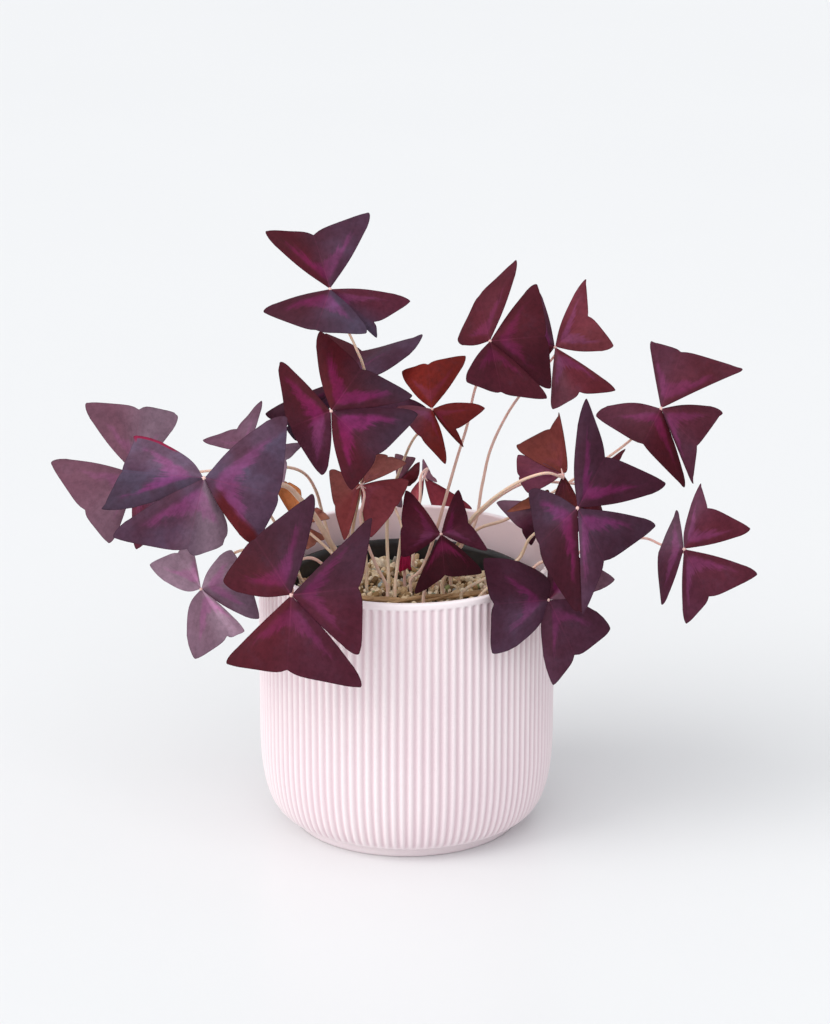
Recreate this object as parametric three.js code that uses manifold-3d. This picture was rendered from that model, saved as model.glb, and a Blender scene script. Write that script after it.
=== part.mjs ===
// A potted purple oxalis: three-part leaves on thin stems that stand in grit,
// in a black nursery pot inside a ribbed pale pink planter.
// Millimetres, +Z up. The origin is the centre of the planter's flat base, and
// the front of the plant, as photographed, faces -Y.

import * as THREE from 'three';
import { mergeVertices } from 'three/addons/utils/BufferGeometryUtils.js';
import Module from 'manifold-3d';

const wasm = await Module();
wasm.setup();

// Driving dimensions of the planter
const planterRadius = 70;
const planterHeight = 132.5;
const planterWall = 3;
const planterFloor = 5;
const footRadius = 54;
const footHeight = 5.7;
const footFlare = 56;
const shoulderHeight = 48;
const shoulderFullness = 2.5;
const lipHeight = 2.4;
const lipOverhang = 0.05;
const lipRounding = 0.8;
const ribCount = 108;
const ribDepth = 0.9;

// Driving dimensions of the nursery pot and the grit
const nurseryRimRadius = 60;
const nurseryRimHeight = 118.5;
const nurseryRimBand = 3;
const nurseryTopRadius = 58.8;
const nurseryBaseRadius = 43;
const nurseryWall = 1.2;
const nurserySegments = 40;
const gritLevel = 110;
const gritRelief = 2.2;
const gritSpacing = 7.4;
const gritScatter = 1.6;

// Driving dimensions of the leaves and stems
const bladeThickness = 0.7;
const bladeDome = 1.1;
const bladeFold = 5;
const hubRadius = 1.5;
const stemRadius = 0.95;
const stemSides = 5;
const stemSteps = 8;
const stemDepthInGrit = 7;
const stemStraightBelowHub = 12;
const holeWidening = 1;
const touchGap = 0.3;

// How far one solid reaches into the next where the two are joined
const weld = 0.5;

// The photograph is the guide to where each leaf is. A place in it is a pixel
// [across, down], and its viewpoint is in millimetres from the planter's base.
const photoCentre = [415, 512];
const photoFocalPixels = 4017;
const viewpoint = new THREE.Vector3(4, -1781, 776.5);
const viewPitch = THREE.MathUtils.degToRad(19.3);
const viewForward = new THREE.Vector3(0, Math.cos(viewPitch), -Math.sin(viewPitch));
const viewUp = new THREE.Vector3(0, Math.sin(viewPitch), Math.cos(viewPitch));
const viewRight = new THREE.Vector3(1, 0, 0);

// The leaves. hub is where the three leaflets meet and y is how far the hub
// lies behind the planter's axis. reach is the length of a leaflet's side from
// hub to tip. Each leaflet has its two tips and the notch between them, and
// lean says how much of each tip's hidden length goes back (+) or forward (-).
// side and margin say how full its two sides and its two outer edges are, where
// 1 is usual. under marks a leaflet that shows its lower face. root is where the
// stem leaves the grit. Between root and hub a stem passes the places in over,
// in millimetres, and then those in via: [across, down, y]. straight is how much
// of it is straight below the hub.
const leaves = [
  {
    name: 'top_left', hub: [330, 289], y: -30, reach: 43, root: [-24, 5],
    via: [[352, 540, 10], [362, 480, 5], [370, 420, -8], [364, 369, -16], [357, 350, -18]],
    leaflets: [
      { tips: [[265.5, 233], [370, 214]], notch: [313.5, 235], lean: [0.6, 0.6], side: [1.2, 1] },
      { tips: [[409.5, 300], [375, 337]], notch: [374, 322], lean: [0.4, 0.2], side: [1.6, 1] },
      { tips: [[263.5, 311], [367, 332]], notch: [316, 330], lean: [0.1, -0.3] },
    ],
  },
  {
    name: 'centre_left', hub: [331, 411], y: -35, reach: 42, root: [-27, -8],
    via: [[348, 530, 8], [344, 480, 2]],
    leaflets: [
      {
        tips: [[281, 361.5], [323, 475]], notch: [291, 427], lean: [0.8, 0.5],
        side: [0.6, 1.1], margin: [1.7, 1.2],
      },
      { tips: [[319, 332], [412, 397]], notch: [361, 369], lean: [0.6, 0.3], side: [1.5, 1] },
      { tips: [[417, 413], [350, 489]], notch: [376, 455], lean: [0.1, -0.3], side: [1, 1.5] },
    ],
  },
  {
    name: 'behind_centre_left', hub: [351, 380], y: 8, reach: 43, root: [-19, 9],
    leaflets: [
      {
        tips: [[325, 334], [423, 335]], notch: [362, 351], lean: [0.8, 0.8],
        side: [1, 5], margin: [1, -0.3],
      },
      { tips: [[267, 412], [300, 440]], notch: [288, 425], lean: [0.5, 0.5], side: [2, 1] },
      { tips: [[427, 408], [345, 436]], notch: [385, 425], lean: [0.5, 0.1] },
    ],
  },
  {
    name: 'far_left', hub: [134, 473], y: 5, reach: 42, root: [-34, 27],
    via: [[321, 508, 33], [316, 491, 30], [305, 474, 27], [286, 467, 24]],
    leaflets: [
      {
        tips: [[85, 405], [178, 418]], notch: [139, 409.5], lean: [0.6, 0.6],
        side: [1, 1], margin: [1, 1.4],
      },
      { tips: [[52, 461], [111, 542.5]], notch: [85, 510], lean: [0.4, 0] },
      { tips: [[135, 548], [185, 505]], notch: [160, 525], lean: [0, 0.2] },
    ],
  },
  {
    name: 'left_large', hub: [204, 478], y: -55, reach: 52, root: [-27, 17],
    thickness: 1.35,
    via: [[331, 544, 0], [314, 515, -8], [300, 499, -16], [288, 487, -23], [275, 484, -30]],
    leaflets: [
      {
        tips: [[137, 436], [104, 510]], notch: [122, 472], lean: [0.6, 0.2],
        side: [2.1, 2.2], margin: [0.25, 0.35],
      },
      {
        tips: [[113, 535], [227.5, 534]], notch: [187, 549], lean: [-0.1, 0.3],
        side: [1, 1], margin: [1, 2.8],
      },
      {
        tips: [[285, 416], [252, 544]], notch: [278, 495], lean: [0.5, 0.1],
        side: [1.3, 1], margin: [0.8, 1],
      },
    ],
  },
  {
    name: 'behind_left_large', hub: [247, 452], y: -15, reach: 34, root: [-50, 5],
    via: [[285, 540, -2], [262, 500, -8]],
    leaflets: [
      { tips: [[203, 441], [262, 401]], notch: [237, 429], lean: [0.6, 0.6] },
      { tips: [[302, 443], [281, 487]], notch: [286, 460], lean: [0.4, 0] },
      { tips: [[235, 492], [262, 500]], notch: [247, 497], lean: [-0.1, -0.1] },
    ],
  },
  {
    name: 'lower_left', hub: [201, 589], y: -45, reach: 38, root: [-47, -6],
    over: [[-62, -24, 141], [-80, -21, 140]],
    leaflets: [
      { tips: [[150, 566], [193, 549]], notch: [178, 553], lean: [0.5, 0.5], side: [3.4, 0.3] },
      { tips: [[230, 550], [258, 619]], notch: [247, 580], lean: [0.4, 0.1], side: [1.6, 1.4] },
      { tips: [[194, 658], [244, 629]], notch: [227, 636], lean: [-0.2, -0.2], side: [3.1, 1] },
    ],
  },
  {
    name: 'front_left', hub: [291, 595], y: -84, reach: 52, root: [-25, -22],
    over: [[-43, -45, 146], [-52, -60, 147]],
    leaflets: [
      {
        tips: [[224, 583], [314, 495]], notch: [255, 539], lean: [0.35, 0.5],
        side: [1.4, 0.9], margin: [1, 0.6],
      },
      {
        tips: [[370, 518], [357, 655]], notch: [358.5, 588], lean: [0.4, 0],
        side: [0.3, 0.6], margin: [0.8, 1.2],
      },
      { tips: [[226, 661], [362, 685]], notch: [287, 670], lean: [-0.2, -0.1], side: [0.35, 1] },
    ],
  },
  {
    name: 'centre_underside', hub: [361, 485], y: -3, reach: 29, root: [-9, -3],
    under: true,
    via: [[377, 567, -6], [367, 543, -10], [360.5, 519, -13]],
    leaflets: [
      { tips: [[330, 470], [345, 540]], notch: [335, 506], lean: [-0.4, 0.2] },
      { tips: [[375, 455], [406, 464]], notch: [388, 457], lean: [-0.6, -0.5] },
      { tips: [[408, 480], [370, 537]], notch: [395, 507], lean: [-0.2, 0.3] },
    ],
  },
  {
    name: 'behind_centre', hub: [398, 482], y: 35, reach: 28, root: [-5.5, -3],
    via: [[400, 545, 4], [402, 528, 14]],
    leaflets: [
      { tips: [[395, 455], [415, 459]], notch: [404, 457], lean: [0.4, 0.4] },
      { tips: [[419, 462], [410, 486]], notch: [418, 477], lean: [0.5, 0.2] },
      { tips: [[378, 494], [402, 507]], notch: [389, 502], lean: [-0.1, -0.1] },
    ],
  },
  {
    name: 'centre_red', hub: [432, 409], y: -5, reach: 36, root: [-8.5, 8],
    via: [[388, 511, 20], [403, 462, 12], [415, 437, 6]],
    leaflets: [
      { tips: [[402, 373], [466, 357]], notch: [428, 364.5], lean: [0.6, 0.6], side: [1.4, 1] },
      { tips: [[484.5, 408], [463, 447]], notch: [456, 429], lean: [0.3, 0], side: [2.6, 3.2] },
      { tips: [[396, 408], [446, 463.5]], notch: [421, 437], lean: [0.1, -0.3], side: [1, 1.8] },
    ],
  },
  {
    name: 'top_centre', hub: [490, 341], y: 22, reach: 42, root: [2, 8],
    via: [[421, 570, 9], [437, 528, 12], [445, 500, 15], [458, 455, 20], [467, 426, 24], [475, 389, 30]],
    leaflets: [
      {
        tips: [[458, 341], [517, 261]], notch: [479, 296], lean: [0.4, 0.6],
        side: [1, 1.2], margin: [1, 0.7],
      },
      { tips: [[535, 284], [549, 389]], notch: [545, 336], lean: [0.6, 0.2], side: [0.7, 1] },
      { tips: [[466, 380], [547, 397]], notch: [501, 392], lean: [-0.3, -0.1] },
    ],
  },
  {
    name: 'top_right', hub: [555, 347], y: 45, reach: 38, root: [14, 15],
    via: [[473, 528, 22], [482, 486, 29], [490, 451, 34], [504, 420, 40], [518, 398, 46]],
    leaflets: [
      {
        tips: [[585, 279.5], [613, 347]], notch: [588, 316], lean: [0.6, 0.2],
        side: [2.3, 1.4], margin: [0.4, 1],
      },
      { tips: [[615, 389], [551.6, 408]], notch: [579.5, 392], lean: [0, -0.3], side: [0.8, 0.5] },
      { tips: [[538, 291], [522, 380]], notch: [524, 335], lean: [0.5, 0.2] },
    ],
  },
  {
    name: 'right_upper', hub: [661, 408.5], y: 5, reach: 43, root: [20, 24],
    via: [[475, 531, 27], [507, 519, 25], [560, 488, 24], [622, 447, 22]],
    leaflets: [
      {
        tips: [[650, 343], [742.5, 371]], notch: [681, 352], lean: [0.6, 0.5],
        side: [0.3, -0.1], margin: [0.6, 0.7],
      },
      {
        tips: [[596, 415], [685, 487]], notch: [643, 444], lean: [0.5, 0.3],
        side: [2.4, 1], margin: [1.1, 0.6], fold: 12,
      },
      {
        tips: [[722, 411.5], [692, 483]], notch: [697, 446], lean: [0.4, 0.1],
        side: [1.4, 0.2], margin: [0.3, 0.3], fold: 9,
      },
    ],
  },
  {
    name: 'right_lower', hub: [684, 549], y: -20, reach: 37, root: [37, -3],
    over: [[47, -14, 119], [56, -20, 129], [63, -23.5, 136.4], [71, -24, 138.5]],
    via: [[643, 538, 10], [662, 545, 1]],
    leaflets: [
      {
        tips: [[677, 510], [662, 605]], notch: [658.5, 552.5], lean: [0.75, 0.5],
        side: [0.5, 1], margin: [0.2, 1],
      },
      {
        tips: [[700, 484], [750, 530]], notch: [707.5, 508], lean: [0.4, 0.3],
        side: [3, 1], margin: [0.3, 1],
      },
      { tips: [[757, 573], [685, 622.5]], notch: [709, 596.5], lean: [0, -0.2], side: [0.9, 1] },
    ],
  },
  {
    name: 'right_front', hub: [577.5, 508], y: -62, reach: 52, root: [26, -10],
    via: [[517, 561, -8], [530, 538, -15]],
    leaflets: [
      { tips: [[585.5, 399], [665.5, 485]], notch: [605, 457], lean: [0.6, 0.5], side: [2.6, 1.3] },
      {
        tips: [[530, 490], [583, 612]], notch: [539, 544], lean: [0.5, 0],
        side: [1, 0.6], margin: [1, 2.5],
      },
      { tips: [[655.5, 524], [582, 613]], notch: [604, 561], lean: [0.4, -0.15], side: [1, 0.2] },
    ],
  },
  {
    name: 'right_underside', hub: [563, 474], y: -20, reach: 38, root: [17, 2],
    under: true, thickness: 0.85, straight: 4,
    via: [[468, 524, -2], [480, 510, -8], [505, 490, -18], [530, 477, -27], [548, 473, -28]],
    leaflets: [
      {
        tips: [[516.5, 447], [559, 413.5]], notch: [550, 429], lean: [-0.1, -0.4],
        side: [1, 4.6], margin: [0.6, 0],
      },
      { tips: [[519, 455], [529, 493]], notch: [519.5, 476], lean: [0, 0.2] },
      { tips: [[548, 520], [582, 512]], notch: [565, 520], lean: [0.3, 0.3] },
    ],
  },
  {
    name: 'behind_right_front', hub: [545, 505], y: -5, reach: 32, root: [38, 10],
    via: [[515, 562, 11], [532, 535, 5]],
    leaflets: [
      { tips: [[497, 502], [532, 545]], notch: [522, 529], lean: [0.3, 0.3] },
      { tips: [[507, 512], [548, 490]], notch: [526, 499], lean: [-0.2, -0.3], under: true },
      { tips: [[560, 540], [583, 521]], notch: [575, 533], lean: [0.2, 0.1] },
    ],
  },
  {
    name: 'lower_right', hub: [548.5, 600], y: -50, reach: 42, root: [33, -21],
    over: [[44, -29, 130], [57, -40, 136.5]],
    leaflets: [
      { tips: [[485, 558], [494, 654]], notch: [494, 604], lean: [-0.5, -0.6], side: [5, 3] },
      {
        tips: [[552, 684], [610, 627]], notch: [574.5, 655], lean: [-0.1, 0.3],
        side: [3.3, 2.3], margin: [1, 1.2],
      },
      { tips: [[553, 548], [614, 581]], notch: [583, 562], lean: [0.5, 0.5], side: [1, 1.8] },
    ],
  },
  {
    name: 'centre_front', hub: [441, 534], y: -12, reach: 31, root: [8, -15],
    leaflets: [
      { tips: [[407, 490.5], [403, 557]], notch: [402.5, 526], lean: [0.6, 0.3] },
      { tips: [[458, 490], [487, 550.5]], notch: [468, 523], lean: [0.6, 0.3] },
      { tips: [[415, 593], [482, 572]], notch: [445, 575], lean: [-0.3, -0.3] },
    ],
  },
  {
    name: 'behind_rim', hub: [424, 477], y: 88, reach: 32, root: [3, 39],
    under: true,
    via: [[420, 500, 56], [421, 476, 68]],
    leaflets: [
      { tips: [[471, 507], [441, 527]], notch: [457, 517], lean: [0.4, 0.1] },
      { tips: [[410, 493], [416, 522]], notch: [412, 508], lean: [0.4, 0.2] },
      { tips: [[423, 459], [437, 482]], notch: [431, 474], lean: [0.6, 0.6] },
    ],
  },
  {
    name: 'left_underside', hub: [297, 523], y: 8, reach: 27, root: [-23, -12],
    under: true,
    leaflets: [
      { tips: [[274, 485], [301, 491]], notch: [288, 483], lean: [-0.1, -0.1] },
      { tips: [[316, 508], [329, 519]], notch: [322, 512], lean: [0.2, 0.2] },
      { tips: [[325, 537], [306, 549]], notch: [316, 542], lean: [0.3, 0.3] },
    ],
  },
  {
    name: 'behind_right_middle', hub: [588, 478], y: -8, reach: 30, root: [21, 12],
    via: [[468, 527, 14], [482, 511, 12], [506, 492, 8], [530, 482, 2]],
    leaflets: [
      { tips: [[624.5, 449], [619, 480]], notch: [617, 463], lean: [0.3, 0.1] },
      { tips: [[603, 513], [580, 519]], notch: [592, 515], lean: [0, 0] },
      { tips: [[577, 441], [600, 436]], notch: [589, 440], lean: [0.4, 0.4] },
    ],
  },
];

// Dried stems that lie across the grit: [x, y] points from end to end
const dryStems = [
  { name: 'dry_stem_front', radius: 2.1, points: [[-28, -1.5], [-12, -7.5], [3, -7], [20, -3], [40, 4]] },
  { name: 'dry_stem_left', radius: 1.5, points: [[-44, -15], [-32, -15.5], [-18, -17], [-6, -18]] },
  { name: 'dry_stem_right', radius: 1.3, points: [[12, -24], [24, -28], [36, -28], [45, -20]] },
];

// A young leaf, still furled, on its own short stalk
const youngLeafRoot = [-1, 18];
const youngLeafStalk = 7;
const youngLeafLength = 10;
const youngLeafRadius = 4.2;

const colours = {
  planter: { color: 0xecd9dc, roughness: 0.55 },
  nurseryPot: { color: 0x141416, roughness: 0.45 },
  grit: { color: 0xb59a74, roughness: 0.95 },
  dryStem: { color: 0xa88560, roughness: 0.9 },
  blade: { color: 0x4a1d2f, roughness: 0.55 },
  youngLeaf: { color: 0x8c2457, roughness: 0.6 },
  stem: { color: 0xd2a898, roughness: 0.6 },
};

// Booleans on closed meshes

function solidOf(geometry) {
  const bare = geometry.clone();
  bare.deleteAttribute('normal');
  bare.deleteAttribute('uv');
  const merged = mergeVertices(bare, 1e-4);
  return new wasm.Manifold(new wasm.Mesh({
    numProp: 3,
    vertProperties: new Float32Array(merged.attributes.position.array),
    triVerts: new Uint32Array(merged.index.array),
  }));
}

function geometryOf(solid) {
  const mesh = solid.getMesh();
  const geometry = new THREE.BufferGeometry();
  const numbers = new Float32Array(mesh.vertProperties);
  geometry.setAttribute('position', new THREE.BufferAttribute(numbers, 3));
  geometry.setIndex(Array.from(mesh.triVerts));
  geometry.computeVertexNormals();
  return geometry;
}

function closedGeometry(vertices, triangles) {
  const geometry = new THREE.BufferGeometry();
  const numbers = vertices.flatMap((vertex) => vertex.toArray());
  geometry.setAttribute('position', new THREE.Float32BufferAttribute(numbers, 3));
  geometry.setIndex(triangles.flat());
  return geometry;
}

function turned(profile, segments) {
  const points = profile.map(([radius, z]) => new THREE.Vector2(radius, z));
  return new THREE.LatheGeometry(points, segments).rotateX(Math.PI / 2);
}

// The same draw every time, between 0 and 1
function seededDraw(seed) {
  let state = seed;
  return () => {
    state = (state * 1664525 + 1013904223) % 4294967296;
    return state / 4294967296;
  };
}

// Places in the photograph

function sightLine([across, down]) {
  return viewForward.clone()
    .addScaledVector(viewRight, (across - photoCentre[0]) / photoFocalPixels)
    .addScaledVector(viewUp, (photoCentre[1] - down) / photoFocalPixels);
}

function pointAtY(pixel, y) {
  const line = sightLine(pixel);
  return viewpoint.clone().addScaledVector(line, (y - viewpoint.y) / line.y);
}

function pointAtDepth(pixel, depth) {
  return viewpoint.clone().addScaledVector(sightLine(pixel), depth);
}

function depthOf(point) {
  return point.clone().sub(viewpoint).dot(viewForward);
}

// Planter: a ribbed wall that rounds in to a plain foot, under a plain lip

function wallRadius(z) {
  if (z >= shoulderHeight) return planterRadius;
  const climb = (z - footHeight) / (shoulderHeight - footHeight);
  const swell = (1 - (1 - climb) ** shoulderFullness) ** (1 / shoulderFullness);
  return footFlare + (planterRadius - footFlare) * swell;
}

function ribbedWall() {
  const rows = [footHeight, 10, 20, shoulderHeight, planterHeight - lipHeight + weld];
  const columns = ribCount * 2;
  const vertices = [];
  const triangles = [];
  for (const z of rows) {
    const crest = wallRadius(z);
    for (let column = 0; column < columns; column += 1) {
      const angle = (column / columns) * Math.PI * 2;
      const radius = column % 2 === 1 ? crest : crest - ribDepth;
      vertices.push(new THREE.Vector3(radius * Math.cos(angle), radius * Math.sin(angle), z));
    }
  }
  const lowCentre = vertices.push(new THREE.Vector3(0, 0, rows[0])) - 1;
  const highCentre = vertices.push(new THREE.Vector3(0, 0, rows[rows.length - 1])) - 1;
  for (let column = 0; column < columns; column += 1) {
    const next = (column + 1) % columns;
    for (let row = 0; row < rows.length - 1; row += 1) {
      const low = row * columns;
      const high = low + columns;
      triangles.push([low + column, low + next, high + next], [low + column, high + next, high + column]);
    }
    const top = (rows.length - 1) * columns;
    triangles.push([lowCentre, next, column], [highCentre, top + column, top + next]);
  }
  return closedGeometry(vertices, triangles);
}

function planterGeometry() {
  const footTop = footHeight + weld;
  const foot = turned([[0, 0], [footRadius, 0], [footRadius + weld, footTop], [0, footTop]], 60);
  const lipBase = planterHeight - lipHeight;
  const lipRadius = planterRadius + lipOverhang;
  const lip = turned([
    [0, lipBase], [lipRadius, lipBase], [lipRadius, planterHeight - lipRounding],
    [lipRadius - lipRounding, planterHeight], [0, planterHeight],
  ], 80);
  const innerRadius = planterRadius - planterWall;
  const openTop = planterHeight + 5;
  const hollow = turned([
    [0, planterFloor], [50, planterFloor], [61, 21], [innerRadius, shoulderHeight],
    [innerRadius, openTop], [0, openTop],
  ], 60);
  return geometryOf(solidOf(ribbedWall()).add(solidOf(foot)).add(solidOf(lip)).subtract(solidOf(hollow)));
}

// Nursery pot: a thin tapered cup with a band at its rim

function nurseryInsideRadius(z) {
  const climb = (z - planterFloor) / (nurseryRimHeight - planterFloor);
  return nurseryBaseRadius + (nurseryTopRadius - nurseryBaseRadius) * climb - nurseryWall;
}

function nurseryPotGeometry() {
  const base = planterFloor + touchGap;
  const bandBase = nurseryRimHeight - nurseryRimBand;
  return turned([
    [0, base], [nurseryBaseRadius, base], [nurseryInsideRadius(bandBase) + nurseryWall, bandBase],
    [nurseryRimRadius, bandBase + weld], [nurseryRimRadius, nurseryRimHeight],
    [nurseryInsideRadius(nurseryRimHeight), nurseryRimHeight],
    [nurseryInsideRadius(base + nurseryWall), base + nurseryWall], [0, base + nurseryWall],
  ], nurserySegments);
}

// Grit: grains raised on a lattice of points, one in three of them a peak

function gritSurface(bottom) {
  const draw = seededDraw(11);
  const rowPitch = gritSpacing * Math.sqrt(3) / 2;
  const half = Math.ceil(nurseryRimRadius / rowPitch) + 1;
  const size = half * 2 + 1;
  const vertices = [];
  for (let row = -half; row <= half; row += 1) {
    for (let column = -half; column <= half; column += 1) {
      const peak = (((column - row) % 3) + 3) % 3 === 0;
      const shift = row % 2 === 0 ? 0 : 0.5;
      const x = (column + shift) * gritSpacing + (draw() - 0.5) * gritScatter;
      const y = row * rowPitch + (draw() - 0.5) * gritScatter;
      const height = peak ? gritRelief * (0.4 + 0.9 * draw()) : -gritRelief * (0.2 + 0.8 * draw());
      vertices.push(new THREE.Vector3(x, y, gritLevel + height));
    }
  }
  const topCount = vertices.length;
  for (let index = 0; index < topCount; index += 1) {
    vertices.push(vertices[index].clone().setZ(bottom));
  }
  const triangles = [];
  const at = (row, column) => row * size + column;
  const face = (a, b, c) => {
    triangles.push([a, b, c], [a + topCount, c + topCount, b + topCount]);
  };
  for (let row = 0; row < size - 1; row += 1) {
    const shifted = (row - half) % 2 !== 0;
    for (let column = 0; column < size - 1; column += 1) {
      const [a, b] = [at(row, column), at(row, column + 1)];
      const [c, d] = [at(row + 1, column), at(row + 1, column + 1)];
      if (shifted) {
        face(a, b, d);
        face(a, d, c);
      } else {
        face(a, b, c);
        face(b, d, c);
      }
    }
  }
  const edge = [];
  for (let step = 0; step < size - 1; step += 1) edge.push([at(0, step), at(0, step + 1)]);
  for (let step = 0; step < size - 1; step += 1) edge.push([at(step, size - 1), at(step + 1, size - 1)]);
  for (let step = size - 1; step > 0; step -= 1) edge.push([at(size - 1, step), at(size - 1, step - 1)]);
  for (let step = size - 1; step > 0; step -= 1) edge.push([at(step, 0), at(step - 1, 0)]);
  for (const [from, to] of edge) {
    triangles.push([from, from + topCount, to + topCount], [from, to + topCount, to]);
  }
  return closedGeometry(vertices, triangles);
}

function gritGeometry() {
  const bottom = planterFloor + touchGap + nurseryWall + touchGap;
  const top = gritLevel + gritRelief * 3;
  const clearance = touchGap + 0.1;
  const filling = turned([
    [0, bottom], [nurseryInsideRadius(bottom) - clearance, bottom],
    [nurseryInsideRadius(top) - clearance, top], [0, top],
  ], nurserySegments);
  let solid = solidOf(gritSurface(bottom - 2)).intersect(solidOf(filling));
  const holeBottom = gritLevel - stemDepthInGrit - touchGap;
  const holeTop = gritLevel + gritRelief * 2;
  const roots = leaves.map((leaf) => [leaf.root, leaf.thickness ?? stemRadius]);
  roots.push([youngLeafRoot, stemRadius]);
  for (const [[x, y], radius] of roots) {
    const narrow = radius + holeWidening;
    const hole = new THREE.CylinderGeometry(narrow + weld, narrow, holeTop - holeBottom, 6)
      .rotateX(Math.PI / 2)
      .translate(x, y, (holeTop + holeBottom) / 2);
    solid = solid.subtract(solidOf(hole));
  }
  for (const dryStem of dryStems) {
    solid = solid.subtract(solidOf(dryStemGeometry(dryStem, 0.4, 1.5)));
  }
  const pieces = solid.decompose().sort((a, b) => b.volume() - a.volume());
  return geometryOf(pieces[0]);
}

// Rods along a curve

function rodGeometry(centres, radius, sides) {
  const vertices = [];
  const triangles = [];
  const way = centres[1].clone().sub(centres[0]).normalize();
  const outward = new THREE.Vector3(1, 0, 0).addScaledVector(way, -way.x).normalize();
  centres.forEach((centre, index) => {
    const before = centres[Math.max(index - 1, 0)];
    const after = centres[Math.min(index + 1, centres.length - 1)];
    way.copy(after).sub(before).normalize();
    outward.addScaledVector(way, -outward.dot(way)).normalize();
    const sideways = way.clone().cross(outward);
    for (let side = 0; side < sides; side += 1) {
      const angle = (side / sides) * Math.PI * 2;
      vertices.push(centre.clone()
        .addScaledVector(outward, radius * Math.cos(angle))
        .addScaledVector(sideways, radius * Math.sin(angle)));
    }
  });
  const last = (centres.length - 1) * sides;
  for (let side = 0; side < sides; side += 1) {
    const next = (side + 1) % sides;
    for (let low = 0; low < last; low += sides) {
      const high = low + sides;
      triangles.push([low + side, low + next, high + next], [low + side, high + next, high + side]);
    }
    if (side > 0 && side < sides - 1) {
      triangles.push([0, side + 1, side], [last, last + side, last + side + 1]);
    }
  }
  return closedGeometry(vertices, triangles);
}

function dryStemGeometry({ radius, points }, grow = 0, longer = 0) {
  const places = points.map(([x, y], index) => {
    const dip = index % 2 === 0 ? 0 : 0.6;
    return new THREE.Vector3(x, y, gritLevel + radius * 0.5 - dip);
  });
  const last = places.length - 1;
  const firstWay = places[0].clone().sub(places[1]).normalize();
  const lastWay = places[last].clone().sub(places[last - 1]).normalize();
  places[0].addScaledVector(firstWay, longer);
  places[last].addScaledVector(lastWay, longer);
  return rodGeometry(new THREE.CatmullRomCurve3(places).getSpacedPoints(8), radius + grow, 6);
}

// Leaves

// Half of a leaflet is drawn over the triangle hub, notch, tip. A point is
// [share towards the notch, share towards the tip]. The rim runs from the notch
// along the outer edge, round the tip and to the shoulder, where the leaflet's
// side starts back. How far an edge bows out depends on how full it is.
const edgePoints = [[0.9, 0.1], [0.385, 0.615]];
const edgeBow = 0.031;
const tipPoint = [0.03, 0.995];
const shoulder = [-0.09, 0.9];
const halfRings = [0.5, 1];
const sideBow = 0.065;

// The notch lies this far towards the sum of the two tips
const notchShare = 0.53;

function leafletPoints(leaf, leaflet, hub) {
  const hubDepth = depthOf(hub);
  const shown = (leaflet.under ?? leaf.under ?? false) ? -1 : 1;
  const reaches = leaflet.tips.map((pixel, index) => {
    const flat = pointAtDepth(pixel, hubDepth).distanceTo(hub);
    const hidden = Math.sqrt(Math.max(0, leaf.reach ** 2 - flat ** 2));
    return leaflet.lean[index] * hidden;
  });
  const tips = leaflet.tips.map((pixel, index) => pointAtDepth(pixel, hubDepth + reaches[index]));
  const fold = leaflet.fold ?? bladeFold;
  const notchBack = (reaches[0] + reaches[1]) * notchShare - shown * fold;
  const notch = pointAtDepth(leaflet.notch, hubDepth + notchBack);
  const [first, second] = leaflet.tips;
  const [across, down] = leaf.hub;
  const turn = (first[0] - across) * (second[1] - down) - (first[1] - down) * (second[0] - across);
  const side = [...(leaflet.side ?? [1, 1])];
  const margin = [...(leaflet.margin ?? [1, 1])];
  if (turn * shown > 0) {
    tips.reverse();
    side.reverse();
    margin.reverse();
  }
  return { hub, notch, tips, side, margin };
}

function triangleNormal(a, b, c) {
  return b.clone().sub(a).cross(c.clone().sub(a)).normalize();
}

function halfRim(side, margin) {
  const bow = margin * edgeBow;
  const edge = edgePoints.map(([towardsNotch, towardsTip]) => [towardsNotch + bow, towardsTip + bow]);
  return [[1, 0], ...edge, tipPoint, [shoulder[0] * side, shoulder[1]]];
}

function leafletGrid({ hub, notch, tips, side, margin }) {
  const sides = [triangleNormal(hub, tips[0], notch), triangleNormal(hub, notch, tips[1])];
  const middle = sides[0].clone().add(sides[1]).normalize();
  const half = (which) => halfRim(side[which], margin[which]).map(([towardsNotch, towardsTip], step, rim) => {
    const share = step / (rim.length - 1);
    const normal = share === 0 ? middle : sides[which];
    const bow = sideBow * side[which] * share ** 2;
    return { towardsNotch, towardsTip, share, bow, tip: tips[which], normal };
  });
  const columns = [...half(0).reverse(), ...half(1).slice(1)];
  const place = (column, ring) => {
    const bow = column.bow * Math.sin(Math.PI * ring);
    const dome = bladeDome * Math.sin(Math.PI * ring) * Math.sin(Math.PI * column.share);
    const point = hub.clone()
      .addScaledVector(notch.clone().sub(hub), column.towardsNotch * ring - bow)
      .addScaledVector(column.tip.clone().sub(hub), column.towardsTip * ring)
      .addScaledVector(column.normal, dome);
    return { point, normal: column.normal };
  };
  const base = hub.clone().addScaledVector(notch.clone().sub(hub).normalize(), hubRadius * 0.5);
  return {
    apex: { point: base, normal: middle },
    rings: halfRings.map((ring) => columns.map((column) => place(column, ring))),
  };
}

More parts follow.
